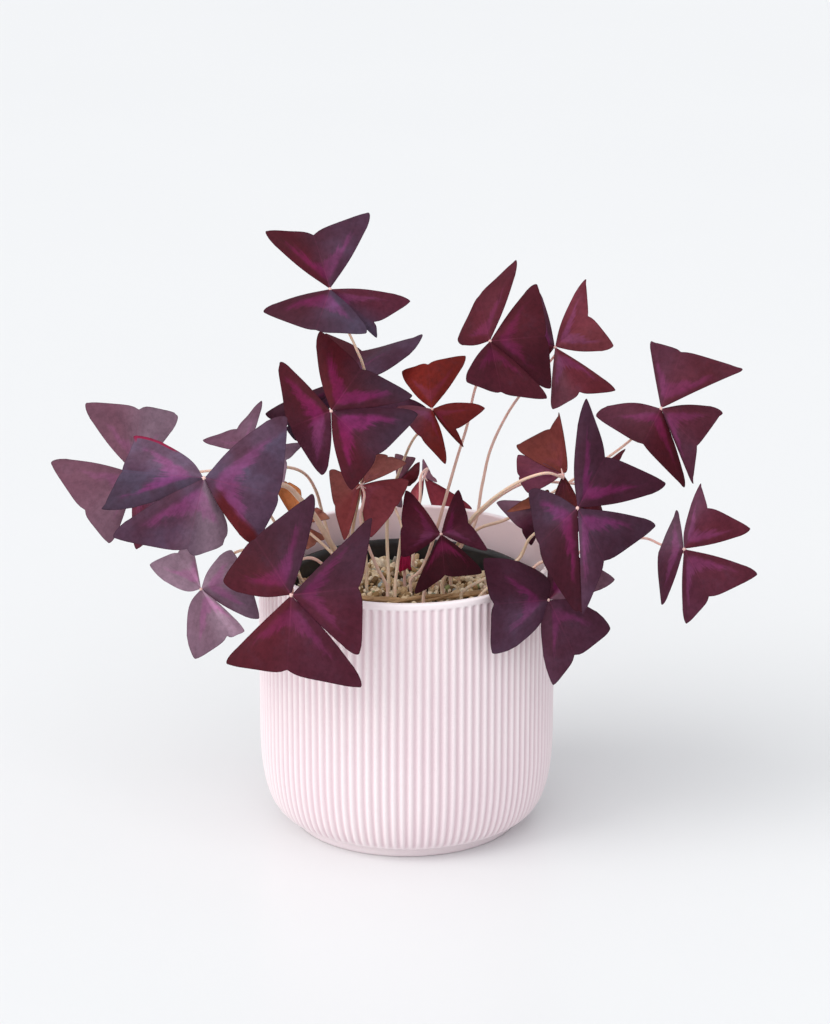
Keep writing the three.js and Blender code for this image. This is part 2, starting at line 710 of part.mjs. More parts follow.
function leafletGeometry(corners) {
  const { apex, rings } = leafletGrid(corners);
  const flat = [apex, ...rings.flat()];
  const vertices = [];
  for (const side of [0.5, -0.5]) {
    for (const { point, normal } of flat) {
      vertices.push(point.clone().addScaledVector(normal, side * bladeThickness));
    }
  }
  const lower = flat.length;
  const width = rings[0].length;
  const at = (ring, column) => 1 + ring * width + column;
  const triangles = [];
  const face = (a, b, c) => triangles.push([a, b, c], [a + lower, c + lower, b + lower]);
  for (let column = 0; column < width - 1; column += 1) {
    face(0, at(0, column), at(0, column + 1));
    for (let ring = 0; ring < rings.length - 1; ring += 1) {
      const [a, b] = [at(ring, column), at(ring, column + 1)];
      const [c, d] = [at(ring + 1, column), at(ring + 1, column + 1)];
      if (column < (width - 1) / 2) {
        face(a, c, b);
        face(b, c, d);
      } else {
        face(a, c, d);
        face(a, d, b);
      }
    }
  }
  const outline = [0];
  for (let ring = 0; ring < rings.length; ring += 1) outline.push(at(ring, 0));
  for (let column = 1; column < width; column += 1) outline.push(at(rings.length - 1, column));
  for (let ring = rings.length - 2; ring >= 0; ring -= 1) outline.push(at(ring, width - 1));
  outline.forEach((from, index) => {
    const to = outline[(index + 1) % outline.length];
    triangles.push([from, from + lower, to + lower], [from, to + lower, to]);
  });
  return closedGeometry(vertices, triangles);
}

function leafParts(leaf) {
  const hub = pointAtY(leaf.hub, leaf.y);
  const leaflets = leaf.leaflets.map((leaflet) => leafletPoints(leaf, leaflet, hub));
  const axis = new THREE.Vector3();
  for (const { tips } of leaflets) axis.add(triangleNormal(hub, tips[0], tips[1]));
  axis.normalize();
  let blade = solidOf(new THREE.OctahedronGeometry(hubRadius, 0).translate(hub.x, hub.y, hub.z));
  for (const corners of leaflets) blade = blade.add(solidOf(leafletGeometry(corners)));
  return { hub, axis, blade: geometryOf(blade) };
}

function stemGeometry(leaf, hub, axis) {
  const [x, y] = leaf.root;
  const radius = leaf.thickness ?? stemRadius;
  const bottom = new THREE.Vector3(x, y, gritLevel - stemDepthInGrit);
  const end = hub.clone().addScaledVector(axis, -(hubRadius + touchGap));
  const before = hub.clone().addScaledVector(axis, -(leaf.straight ?? stemStraightBelowHub));
  const foot = new THREE.Vector3(x, y, gritLevel + 2);
  const rise = new THREE.Vector3(x, y, gritLevel + 6);
  const passed = [
    ...(leaf.over ?? []).map((place) => new THREE.Vector3(...place)),
    ...(leaf.via ?? []).map(([across, down, depth]) => pointAtY([across, down], depth)),
  ];
  if (passed.length === 0) {
    passed.push(new THREE.Vector3(
      THREE.MathUtils.lerp(x, before.x, 0.38),
      THREE.MathUtils.lerp(y, before.y, 0.38),
      THREE.MathUtils.lerp(foot.z, before.z, 0.6),
    ));
  }
  const curve = new THREE.CatmullRomCurve3([foot, rise, ...passed, before, end], false, 'centripetal');
  return rodGeometry([bottom, ...curve.getSpacedPoints(stemSteps)], radius, stemSides);
}

// Young leaf: a stalk in the grit with a furled three-sided bud on top

function youngLeafGeometry() {
  const [x, y] = youngLeafRoot;
  const bottom = gritLevel - stemDepthInGrit;
  const stalkTop = gritLevel + youngLeafStalk;
  const budTop = stalkTop + youngLeafLength;
  const stalk = new THREE.CylinderGeometry(stemRadius, stemRadius, stalkTop + 2 - bottom, stemSides)
    .rotateX(Math.PI / 2)
    .translate(x, y, (stalkTop + 2 + bottom) / 2);
  const bud = turned([
    [0, stalkTop], [youngLeafRadius * 0.5, stalkTop + 2], [youngLeafRadius, budTop - 4],
    [youngLeafRadius * 0.7, budTop - 1], [0, budTop],
  ], 9);
  const place = bud.attributes.position;
  for (let index = 0; index < place.count; index += 1) {
    const angle = Math.atan2(place.getY(index), place.getX(index));
    const crease = 1 - 0.28 * (0.5 - 0.5 * Math.cos(3 * angle));
    place.setX(index, place.getX(index) * crease);
    place.setY(index, place.getY(index) * crease);
  }
  bud.translate(x, y, 0);
  return geometryOf(solidOf(stalk).add(solidOf(bud)));
}

// The finished object

const object = new THREE.Group();

function addMesh(name, geometry, look) {
  const mesh = new THREE.Mesh(geometry, new THREE.MeshStandardMaterial({ metalness: 0, ...look }));
  mesh.name = name;
  object.add(mesh);
}

addMesh('planter', planterGeometry(), colours.planter);
addMesh('nursery_pot', nurseryPotGeometry(), colours.nurseryPot);
addMesh('grit', gritGeometry(), colours.grit);
for (const dryStem of dryStems) addMesh(dryStem.name, dryStemGeometry(dryStem), colours.dryStem);
addMesh('young_leaf', youngLeafGeometry(), colours.youngLeaf);
for (const leaf of leaves) {
  const { hub, axis, blade } = leafParts(leaf);
  addMesh(`leaf_${leaf.name}`, blade, colours.blade);
  addMesh(`stem_${leaf.name}`, stemGeometry(leaf, hub, axis), colours.stem);
}

export default object;
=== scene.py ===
# The looks of a potted purple oxalis, in metres. +Z is up, the origin is the centre of
# the planter's base, and the front of the plant, as photographed, faces -Y.

import math
import random

import bpy
import numpy as np
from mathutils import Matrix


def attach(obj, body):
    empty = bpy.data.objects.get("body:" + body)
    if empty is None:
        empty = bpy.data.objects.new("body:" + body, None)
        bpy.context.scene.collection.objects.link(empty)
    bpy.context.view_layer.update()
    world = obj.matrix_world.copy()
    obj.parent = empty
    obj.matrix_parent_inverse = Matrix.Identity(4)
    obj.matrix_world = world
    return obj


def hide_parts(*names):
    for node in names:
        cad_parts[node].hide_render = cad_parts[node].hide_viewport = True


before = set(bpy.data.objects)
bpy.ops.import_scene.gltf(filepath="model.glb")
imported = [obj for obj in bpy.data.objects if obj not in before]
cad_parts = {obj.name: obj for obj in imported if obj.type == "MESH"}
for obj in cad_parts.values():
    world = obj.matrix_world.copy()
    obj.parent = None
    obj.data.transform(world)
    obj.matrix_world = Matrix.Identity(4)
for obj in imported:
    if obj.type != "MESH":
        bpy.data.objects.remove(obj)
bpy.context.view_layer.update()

MM = 0.001
TURN = 2 * math.pi

# The planter, in millimetres
PLANTER_RADIUS = 70.0
PLANTER_HEIGHT = 132.5
PLANTER_WALL = 3.0
PLANTER_FLOOR = 5.0
FOOT_RADIUS = 54.0
FOOT_HEIGHT = 5.7
FOOT_FLARE = 56.0
SHOULDER_HEIGHT = 48.0
SHOULDER_FULLNESS = 2.5
LIP_HEIGHT = 2.4
LIP_OVERHANG = 0.05
INNER_FACE_FROM = 66.8
INNER_FACE_TO = 67.4
RIB_COUNT = 108
RIB_DEPTH = 0.95
RIB_SAMPLES = 9
RIBS_START = 5.9
RIBS_FULL = 9.2
RIBS_FULL_BELOW_LIP = 1.2
RIBS_END_BELOW_LIP = 0.2

# The nursery pot and the grit, in millimetres
SEAT_GAP = 0.3
NURSERY_RIM_RADIUS = 60.0
NURSERY_RIM_HEIGHT = 118.5
NURSERY_TOP_RADIUS = 58.8
NURSERY_BASE_RADIUS = 43.0
NURSERY_WALL = 1.2
NURSERY_COLUMNS = 128
GRIT_LEVEL = 110.0
GRIT_EDGE_GAP = 0.5
BED_DEPTH = 3.0
BED_COLUMNS = 96
GRAIN_COUNT = 2200
GRAIN_CUTS = 9
GRAIN_CUT_PLACES = (0.45, 0.8)
GRAIN_CUT_SHARE = 0.92
GRAIN_STRETCHES = ((0.75, 1.3), (0.7, 1.1), (0.6, 0.95))
SMALLEST_GRAIN = 0.9
LARGEST_GRAIN = 3.1
GRAINS_FROM = GRIT_LEVEL - 3.2
GRAINS_DEPTH = 4.4
TOP_GRAINS_ABOVE = GRIT_LEVEL - 0.2
GRAINS_UNDER_DRY_STEMS = GRIT_LEVEL - 2.0
GRIT_SEED = 7
DRY_STEM_POINTS = 70
DRY_STEM_STRANDS = 3
FIRST_STRAND_THICK = 0.68
FIRST_STRAND_OFF = 0.25
OTHER_STRANDS_THICK = (0.34, 0.48)
OTHER_STRANDS_OFF = 0.62
DRY_STEM_SEED = 20

# The leaves and stems, in millimetres
BLADE_THICKNESS = 0.42
BLADE_DOME = 1.3
BLADE_FOLD = 5.0
NOTCH_SHARE = 0.53
HUB_RADIUS = 0.8
HUB_DROP = 0.35
JOINT_POINTS = 8
JOINT_RADII = np.linspace(0.55, 0.25, JOINT_POINTS)
STEM_RADIUS = 0.75
STEM_SIDES = 12
STEM_POINTS = 72
STEM_FOOT_SHARE = 1.15
STEM_TAPER = 0.4
STEM_WAVE = 0.02
STEM_STRAIGHT_BELOW_HUB = 12.0
STEM_TOP_BELOW_HUB = 0.6
STEM_BEND = np.array([0.38, 0.38, 0.6])
UNDER_GRIT = (GRIT_LEVEL - 6, GRIT_LEVEL - 2)
OVER_GRIT = (GRIT_LEVEL + 2, GRIT_LEVEL + 6)
LEAF_SEED = 100

# The photograph is the guide to where each leaf is. A place in it is a pixel
# (across, down), and its viewpoint is in millimetres from the planter's base.
PHOTO_SIZE = (830, 1024)
PHOTO_CENTRE = (415.0, 512.0)
PHOTO_FOCAL_PIXELS = 4017.0
VIEWPOINT = np.array([4.0, -1781.0, 776.5])
VIEW_PITCH = math.radians(19.3)
VIEW_FORWARD = np.array([0.0, math.cos(VIEW_PITCH), -math.sin(VIEW_PITCH)])
VIEW_UP = np.array([0.0, math.sin(VIEW_PITCH), math.cos(VIEW_PITCH)])
VIEW_RIGHT = np.array([1.0, 0.0, 0.0])

# The leaves. hub is where the three leaflets meet and y is how far the hub lies behind
# the planter's axis. reach is the length of a leaflet's side from hub to tip, and mark
# is how strong the magenta marking is. root is where the stem leaves the grit. Between
# root and hub the stem passes the places in over (x, y, z), then those in via (across,
# down, y), and it ends straight for the length straight. thickness is about its radius.
# Where under is true the blade shows its underside.
# A leaflet is its two tips, the notch between them, and lean, which says how much of
# each tip's hidden length goes back (+) or forward (-). fold is how far the notch stands
# out on the upper side. side and margin say how full the edges are from hub to tip and
# from tip to notch. tone is how red the blade is and how much painted sheen greys it, from
# 0 to 1, and how much painted light makes it paler, or below 0 how much painted shade
# makes it darker. trim is how much painted sheen greys the tip, or below 0 how strong the
# dark red band along the side is, or 2 for a curled crimson edge. lean, side, margin, tone
# and trim have a value for each half, in the order of tips. A tone may stand for both.
LEAVES = [
    dict(name="top_left", hub=(330, 289), y=-30, reach=43, root=(-24, 5), mark=0.68,
         via=[(352, 540, 10), (362, 480, 5), (370, 420, -8), (364, 369, -16), (357, 350, -18)],
         leaflets=[
        dict(tips=((265.5, 233), (370, 214)), notch=(313.5, 235), lean=(0.6, 0.6), side=(1.2, 1),
             tone=((0.2, 0, -0.08), (0, 0.6, 0.15))),
        dict(tips=((409.5, 300), (375, 337)), notch=(374, 322), lean=(0.4, 0.2), side=(1.6, 1),
             tone=((0.15, 0.2, 0.27), (0, 0.8, 0.05))),
        dict(tips=((263.5, 311), (367, 332)), notch=(316, 330), lean=(0.1, -0.3),
             tone=((0.12, 0.2, 0), (0, 1, 0.1)))]),
    dict(name="centre_left", hub=(331, 411), y=-35, reach=42, root=(-27, -8), mark=1,
         via=[(348, 530, 8), (344, 480, 2)], leaflets=[
        dict(tips=((281, 361.5), (323, 475)), notch=(291, 427), lean=(0.8, 0.5), side=(0.6, 1.1),
             margin=(1.7, 1.2), tone=((0.25, 0, -0.2), (0, 0.2, 0.24))),
        dict(tips=((319, 332), (412, 397)), notch=(361, 369), lean=(0.6, 0.3), side=(1.5, 1),
             trim=(0, 0.6), tone=((0.35, 0, -0.05), (0.2, 0.2, 0))),
        dict(tips=((417, 413), (350, 489)), notch=(376, 455), lean=(0.1, -0.3), side=(1, 1.5),
             trim=(0.4, 0), tone=((0.05, 0.3, -0.25), (0.2, 0, -0.08)))]),
    dict(name="behind_centre_left", hub=(351, 380), y=8, reach=43, root=(-19, 9), mark=0.3, leaflets=[
        dict(tips=((325, 334), (423, 335)), notch=(362, 351), lean=(0.8, 0.8), side=(1, 5),
             margin=(1, -0.3), tone=((0.3, 0, -0.08), (0, 0.6, 0.1))),
        dict(tips=((267, 412), (300, 440)), notch=(288, 425), lean=(0.5, 0.5), side=(2, 1),
             tone=((0, 0.3, -0.15), (0, 0.9, -0.2))),
        dict(tips=((427, 408), (345, 436)), notch=(385, 425), lean=(0.5, 0.1),
             tone=((0, 0.4, 0.32), (0, 0.4, -0.15)))]),
    dict(name="far_left", hub=(134, 473), y=5, reach=42, root=(-34, 27), mark=0.5,
         via=[(321, 508, 33), (316, 491, 30), (305, 474, 27), (286, 467, 24)], leaflets=[
        dict(tips=((85, 405), (178, 418)), notch=(139, 409.5), lean=(0.6, 0.6), margin=(1, 1.4),
             tone=((0, 0, 0.6), (0, 0.05, 0.98))),
        dict(tips=((52, 461), (111, 542.5)), notch=(85, 510), lean=(0.4, 0),
             tone=((0, 0, 0.6), (0, 0, 0.72))),
        dict(tips=((135, 548), (185, 505)), notch=(160, 525), lean=(0, 0.2),
             tone=((0.1, 0.1, 0.33), (0, 0.6, 0.4)))]),
    dict(name="left_large", hub=(204, 478), y=-55, reach=52, root=(-27, 17), thickness=1.35, mark=0.85,
         via=[(331, 544, 0), (314, 515, -8), (300, 499, -16), (288, 487, -23), (275, 484, -30)],
         leaflets=[
        dict(tips=((137, 436), (104, 510)), notch=(122, 472), lean=(0.6, 0.2), side=(2.1, 2.2),
             margin=(0.25, 0.35), trim=(2, 0), tone=((0, 0.85, 0.48), (0, 0.9, 0))),
        dict(tips=((113, 535), (227.5, 534)), notch=(187, 549), lean=(-0.1, 0.3), margin=(1, 2.8),
             tone=((0.1, 0.65, 0.18), (0, 0.8, 1))),
        dict(tips=((285, 416), (252, 544)), notch=(278, 495), lean=(0.5, 0.1), side=(1.3, 1),
             margin=(0.8, 1), trim=(-0.3, -1), tone=((0, 0.95, 0.3), (0, 0.6, 0.22)))]),
    dict(name="behind_left_large", hub=(247, 452), y=-15, reach=34, root=(-50, 5), mark=0.35,
         via=[(285, 540, -2), (262, 500, -8)], leaflets=[
        dict(tips=((203, 441), (262, 401)), notch=(237, 429), lean=(0.6, 0.6),
             tone=((0, 0.3, 0.5), (0, 0.4, 0.58))),
        dict(tips=((302, 443), (281, 487)), notch=(286, 460), lean=(0.4, 0),
             tone=((0, 0.5, 0.65), (0, 0.7, 1.25))),
        dict(tips=((235, 492), (262, 500)), notch=(247, 497), lean=(-0.1, -0.1),
             tone=((0, 0.4, 0.6), (0, 0.4, 0.55)))]),
    dict(name="lower_left", hub=(201, 589), y=-45, reach=38, root=(-47, -6), mark=0.75,
         over=[(-62, -24, 141), (-80, -21, 140)], leaflets=[
        dict(tips=((150, 566), (193, 549)), notch=(178, 553), lean=(0.5, 0.5), side=(3.4, 0.3),
             tone=((0, 0.2, 1), (0, 0.2, 1.3))),
        dict(tips=((230, 550), (258, 619)), notch=(247, 580), lean=(0.4, 0.1), side=(1.6, 1.4),
             tone=((0, 0.8, 1.12), (0, 0.7, 0.65))),
        dict(tips=((194, 658), (244, 629)), notch=(227, 636), lean=(-0.2, -0.2), side=(3.1, 1),
             tone=((0, 0.4, 0.7), (0, 0.2, 1.3)))]),
    dict(name="front_left", hub=(291, 595), y=-84, reach=52, root=(-25, -22), mark=0.58,
         over=[(-43, -45, 146), (-52, -60, 147)], leaflets=[
        dict(tips=((224, 583), (314, 495)), notch=(255, 539), lean=(0.35, 0.5), side=(1.4, 0.9),
             margin=(1, 0.6), tone=((0.3, 0.1, -0.08), (0, 0.35, -0.08))),
        dict(tips=((370, 518), (357, 655)), notch=(358.5, 588), lean=(0.4, 0), side=(0.3, 0.6),
             margin=(0.8, 1.2), tone=((0.05, 0.35, -0.06), (0.15, 0.15, 0.12))),
        dict(tips=((226, 661), (362, 685)), notch=(287, 670), lean=(-0.2, -0.1), side=(0.35, 1),
             tone=((0.3, 0.05, 0.03), (0.15, 0.2, 0.12)))]),
    dict(name="centre_underside", hub=(361, 485), y=-3, reach=29, root=(-9, -3), under=True, mark=0.3,
         via=[(377, 567, -6), (367, 543, -10), (360.5, 519, -13)], leaflets=[
        dict(tips=((330, 470), (345, 540)), notch=(335, 506), lean=(-0.4, 0.2),
             tone=((0.1, 0, 0.6), (0.1, 0, 0.3))),
        dict(tips=((375, 455), (406, 464)), notch=(388, 457), lean=(-0.6, -0.5),
             tone=((0.15, 0.15, 0.6), (0.15, 0.15, 0.65))),
        dict(tips=((408, 480), (370, 537)), notch=(395, 507), lean=(-0.2, 0.3),
             tone=(0.05, 0.15, 0.35))]),
    dict(name="behind_centre", hub=(398, 482), y=35, reach=28, root=(-5.5, -3), mark=0.2,
         via=[(400, 545, 4), (402, 528, 14)], leaflets=[
        dict(tips=((395, 455), (415, 459)), notch=(404, 457), lean=(0.4, 0.4), tone=(0.25, 0.1, 0.6)),
        dict(tips=((419, 462), (410, 486)), notch=(418, 477), lean=(0.5, 0.2),
             tone=((0.4, 0, 0.22), (0.5, 0, -0.2))),
        dict(tips=((378, 494), (402, 507)), notch=(389, 502), lean=(-0.1, -0.1),
             tone=(0.05, 0.2, 0.85))]),
    dict(name="centre_red", hub=(432, 409), y=-5, reach=36, root=(-8.5, 8), mark=0.5,
         via=[(388, 511, 20), (403, 462, 12), (415, 437, 6)], leaflets=[
        dict(tips=((402, 373), (466, 357)), notch=(428, 364.5), lean=(0.6, 0.6), side=(1.4, 1),
             tone=((1, 0, 0.3), (0.95, 0, 0.05))),
        dict(tips=((484.5, 408), (463, 447)), notch=(456, 429), lean=(0.3, 0), side=(2.6, 3.2),
             tone=((0.9, 0.05, 0.08), (0.9, 0, -0.1))),
        dict(tips=((396, 408), (446, 463.5)), notch=(421, 437), lean=(0.1, -0.3), side=(1, 1.8),
             tone=((0.35, 0.2, 0.46), (0.9, 0, 0.08)))]),
    dict(name="top_centre", hub=(490, 341), y=22, reach=42, root=(2, 8), mark=0.5,
         via=[(421, 570, 9), (437, 528, 12), (445, 500, 15), (458, 455, 20), (467, 426, 24), (475, 389, 30)],
         leaflets=[
        dict(tips=((458, 341), (517, 261)), notch=(479, 296), lean=(0.4, 0.6), side=(1, 1.2),
             margin=(1, 0.7), tone=((0.35, 0.1, 0.1), (0.35, 0.15, 0.1))),
        dict(tips=((535, 284), (549, 389)), notch=(545, 336), lean=(0.6, 0.2), side=(0.7, 1),
             tone=((0.35, 0.1, -0.05), (0.25, 0.1, -0.28))),
        dict(tips=((466, 380), (547, 397)), notch=(501, 392), lean=(-0.3, -0.1),
             tone=((0.15, 0.05, -0.08), (0.3, 0.1, -0.05)))]),
    dict(name="top_right", hub=(555, 347), y=45, reach=38, root=(14, 15), mark=0.75,
         via=[(473, 528, 22), (482, 486, 29), (490, 451, 34), (504, 420, 40), (518, 398, 46)], leaflets=[
        dict(tips=((585, 279.5), (613, 347)), notch=(588, 316), lean=(0.6, 0.2), side=(2.3, 1.4),
             margin=(0.4, 1), tone=((0.45, 0.15, 0.33), (0.65, 0.1, 0.45))),
        dict(tips=((615, 389), (551.6, 408)), notch=(579.5, 392), lean=(0, -0.3), side=(0.8, 0.5),
             tone=((0.55, 0.15, 0.15), (0.4, 0.15, 0.5))),
        dict(tips=((538, 291), (522, 380)), notch=(524, 335), lean=(0.5, 0.2),
             tone=((0.15, 0.35, 0.05), (0.35, 0, -0.1)))]),
    dict(name="right_upper", hub=(661, 408.5), y=5, reach=43, root=(20, 24), mark=0.65,
         via=[(475, 531, 27), (507, 519, 25), (560, 488, 24), (622, 447, 22)], leaflets=[
        dict(tips=((650, 343), (742.5, 371)), notch=(681, 352), lean=(0.6, 0.5), side=(0.3, -0.1),
             margin=(0.6, 0.7), tone=((0.15, 0.3, 0.15), (0.35, 0.2, 0.08))),
        dict(tips=((596, 415), (685, 487)), notch=(643, 444), lean=(0.5, 0.3), fold=12, side=(2.4, 1),
             margin=(1.1, 0.6), tone=((0.2, 0.25, 0.13), (0.3, 0, -0.3))),
        dict(tips=((722, 411.5), (692, 483)), notch=(697, 446), lean=(0.4, 0.1), fold=9, side=(1.4, 0.2),
             margin=(0.3, 0.3), tone=((0.25, 0.2, 0.12), (0.15, 0.3, 0.1)))]),
    dict(name="right_lower", hub=(684, 549), y=-20, reach=37, root=(37, -3), mark=0.72,
         over=[(47, -14, 119), (56, -20, 129), (63, -23.5, 136.4), (71, -24, 138.5)],
         via=[(643, 538, 10), (662, 545, 1)], leaflets=[
        dict(tips=((677, 510), (662, 605)), notch=(658.5, 552.5), lean=(0.75, 0.5), side=(0.5, 1),
             margin=(0.2, 1), tone=((0, 0.35, 0.5), (0, 0.25, 0.28))),
        dict(tips=((700, 484), (750, 530)), notch=(707.5, 508), lean=(0.4, 0.3), side=(3, 1),
             margin=(0.3, 1), tone=((0, 0.2, 0.42), (0.3, 0.15, 0.2))),
        dict(tips=((757, 573), (685, 622.5)), notch=(709, 596.5), lean=(0, -0.2), side=(0.9, 1),
             tone=((0.2, 0.15, 0.18), (0.05, 0.2, 0.28)))]),
    dict(name="right_front", hub=(577.5, 508), y=-62, reach=52, root=(26, -10), mark=0.7,
         via=[(517, 561, -8), (530, 538, -15)], leaflets=[
        dict(tips=((585.5, 399), (665.5, 485)), notch=(605, 457), lean=(0.6, 0.5), side=(2.6, 1.3),
             tone=((0, 0.4, 0), (0, 0.2, -0.25))),
        dict(tips=((530, 490), (583, 612)), notch=(539, 544), lean=(0.5, 0), side=(1, -0.1),
             margin=(1, 2.5), tone=((0, 0.65, 0), (0.1, 0.1, -0.38))),
        dict(tips=((655.5, 524), (582, 613)), notch=(604, 561), lean=(0.4, -0.15), side=(0.8, -0.1),
             tone=((0, 0.5, -0.08), (0, 0.5, 0.2)))]),
    dict(name="right_underside", hub=(563, 474), y=-20, reach=38, root=(17, 2), under=True, mark=0.2,
         thickness=0.85, straight=4,
         via=[(468, 524, -2), (480, 510, -8), (505, 490, -18), (530, 477, -27), (548, 473, -28)],
         leaflets=[
        dict(tips=((516.5, 447), (559, 413.5)), notch=(550, 429), lean=(-0.1, -0.4), side=(1, 4.6),
             margin=(0.6, 0), tone=((0.2, 0, -0.2), (0.15, 0, -0.12))),
        dict(tips=((519, 455), (529, 493)), notch=(519.5, 476), lean=(0, 0.2),
             tone=((0, 0.7, 0.38), (0, 0.7, 0.05))),
        dict(tips=((548, 520), (582, 512)), notch=(565, 520), lean=(0.3, 0.3),
             tone=((0.1, 0.3, -0.4), (0.1, 0, -0.3)))]),
    dict(name="behind_right_front", hub=(545, 505), y=-5, reach=32, root=(38, 10), mark=0.2,
         via=[(515, 562, 11), (532, 535, 5)], leaflets=[
        dict(tips=((497, 502), (532, 545)), notch=(522, 529), lean=(0.3, 0.3),
             tone=((0, 0.2, 0.62), (0, 0.2, -0.1))),
        dict(tips=((507, 512), (548, 490)), notch=(526, 499), lean=(-0.2, -0.3), under=True,
             tone=((0.5, 0.2, 0.2), (0.5, 0.2, 0.1))),
        dict(tips=((560, 540), (583, 521)), notch=(575, 533), lean=(0.2, 0.1),
             tone=((0.1, 0, -0.2), (0.1, 0, -0.5)))]),
    dict(name="lower_right", hub=(548.5, 600), y=-50, reach=42, root=(33, -21), mark=0.6,
         over=[(44, -29, 130), (57, -40, 136.5)], leaflets=[
        dict(tips=((485, 558), (494, 654)), notch=(494, 604), lean=(-0.5, -0.6), side=(5, 3),
             tone=((0, 0.25, -0.15), (0, 0.6, 0.22))),
        dict(tips=((552, 684), (610, 627)), notch=(574.5, 655), lean=(-0.1, 0.3), side=(3.3, 2.3),
             margin=(1, 1.2), tone=((0.05, 0.4, 0.1), (0, 0.35, 0.15))),
        dict(tips=((553, 548), (614, 581)), notch=(583, 562), lean=(0.5, 0.5), side=(1, 1.8),
             tone=((0, 0.15, -0.2), (0.15, 0.2, 0.62)))]),
    dict(name="centre_front", hub=(441, 534), y=-12, reach=31, root=(8, -15), mark=0.55, leaflets=[
        dict(tips=((407, 490.5), (403, 557)), notch=(402.5, 526), lean=(0.6, 0.3),
             tone=((0.1, 0, 0.08), (0.05, 0.1, 0.26))),
        dict(tips=((458, 490), (487, 550.5)), notch=(468, 523), lean=(0.6, 0.3),
             tone=((0.05, 0, -0.02), (0.05, 0.2, 0.3))),
        dict(tips=((415, 593), (482, 572)), notch=(445, 575), lean=(-0.3, -0.3), tone=(0.3, 0, -0.76))]),
    dict(name="behind_rim", hub=(424, 477), y=88, reach=32, root=(3, 39), under=True, mark=0.1,
         via=[(420, 500, 56), (421, 476, 68)], leaflets=[
        dict(tips=((471, 507), (441, 527)), notch=(457, 517), lean=(0.4, 0.1), tone=(0, 0, 0.3)),
        dict(tips=((410, 493), (416, 522)), notch=(412, 508), lean=(0.4, 0.2), tone=(0, 0, 0.42)),
        dict(tips=((423, 459), (437, 482)), notch=(431, 474), lean=(0.6, 0.6), tone=(0, 0.9, 0.38))]),
    dict(name="left_underside", hub=(297, 523), y=8, reach=27, root=(-23, -12), under=True, mark=0.05,
         leaflets=[
        dict(tips=((274, 485), (301, 491)), notch=(288, 483), lean=(-0.1, -0.1), tone=(1, 0, 0.38)),
        dict(tips=((316, 508), (329, 519)), notch=(322, 512), lean=(0.2, 0.2),
             tone=((0.9, 0.1, 1.25), (0.9, 0.1, 0.75))),
        dict(tips=((325, 537), (306, 549)), notch=(316, 542), lean=(0.3, 0.3), tone=(1, 0, 1.05))]),
    dict(name="behind_right_middle", hub=(588, 478), y=-8, reach=30, root=(21, 12), mark=0.5,
         via=[(468, 527, 14), (482, 511, 12), (506, 492, 8), (530, 482, 2)], leaflets=[
        dict(tips=((624.5, 449), (619, 480)), notch=(617, 463), lean=(0.3, 0.1),
             tone=(0.35, 0.1, -0.15)),
        dict(tips=((603, 513), (580, 519)), notch=(592, 515), lean=(0, 0), tone=(0.3, 0, -0.2)),
        dict(tips=((577, 441), (600, 436)), notch=(589, 440), lean=(0.4, 0.4), tone=(0.2, 0.1, -0.1))]),
]

# Dried stems that lie across the grit: (x, y) points from end to end
DRY_STEMS = [
    dict(name="dry_stem_front", radius=2.1, points=[(-28, -1.5), (-12, -7.5), (3, -7), (20, -3), (40, 4)]),
    dict(name="dry_stem_left", radius=1.5, points=[(-44, -15), (-32, -15.5), (-18, -17), (-6, -18)]),
    dict(name="dry_stem_right", radius=1.3, points=[(12, -24), (24, -28), (36, -28), (45, -20)]),
]

# The young leaf, in millimetres and shares of its length or radius
YOUNG_LEAF_ROOT = (-1, 18)
YOUNG_LEAF_STALK = 7.0
YOUNG_LEAF_LENGTH = 10.0
YOUNG_LEAF_RADIUS = 4.2
YOUNG_LEAFLET_SHARES = (1.0, 0.8, 1.08)
YOUNG_LEAF_TURN = -1.2
YOUNG_LEAF_TONE = (0.35, 0.0, 0.02)
YOUNG_LEAF_MARK = 2.0
YOUNG_LEAF_SEED = 3
YOUNG_NOTCH_OUT = 0.85
YOUNG_NOTCH_DOWN = 0.7
YOUNG_TIP_OUT = 1.4
YOUNG_TIP_ASIDE = 2.4
YOUNG_TIP_DRAWN_IN = 1.2


# Places in the photograph

def sight_line(pixel):
    across = (pixel[0] - PHOTO_CENTRE[0]) / PHOTO_FOCAL_PIXELS
    up = (PHOTO_CENTRE[1] - pixel[1]) / PHOTO_FOCAL_PIXELS
    return VIEW_FORWARD + across * VIEW_RIGHT + up * VIEW_UP


def point_at_y(pixel, y):
    line = sight_line(pixel)
    return VIEWPOINT + line * (y - VIEWPOINT[1]) / line[1]


def point_at_depth(pixel, depth):
    return VIEWPOINT + sight_line(pixel) * depth


def unit(vector):
    return vector / max(float(np.linalg.norm(vector)), 1e-9)


def smooth_step(low, high, value):
    share = np.clip((value - low) / (high - low), 0.0, 1.0)
    return share * share * (3 - 2 * share)


# Meshes

LINE_STEPS = 24


def add_object(name, data):
    made = bpy.data.objects.new(name, data)
    bpy.context.scene.collection.objects.link(made)
    return made


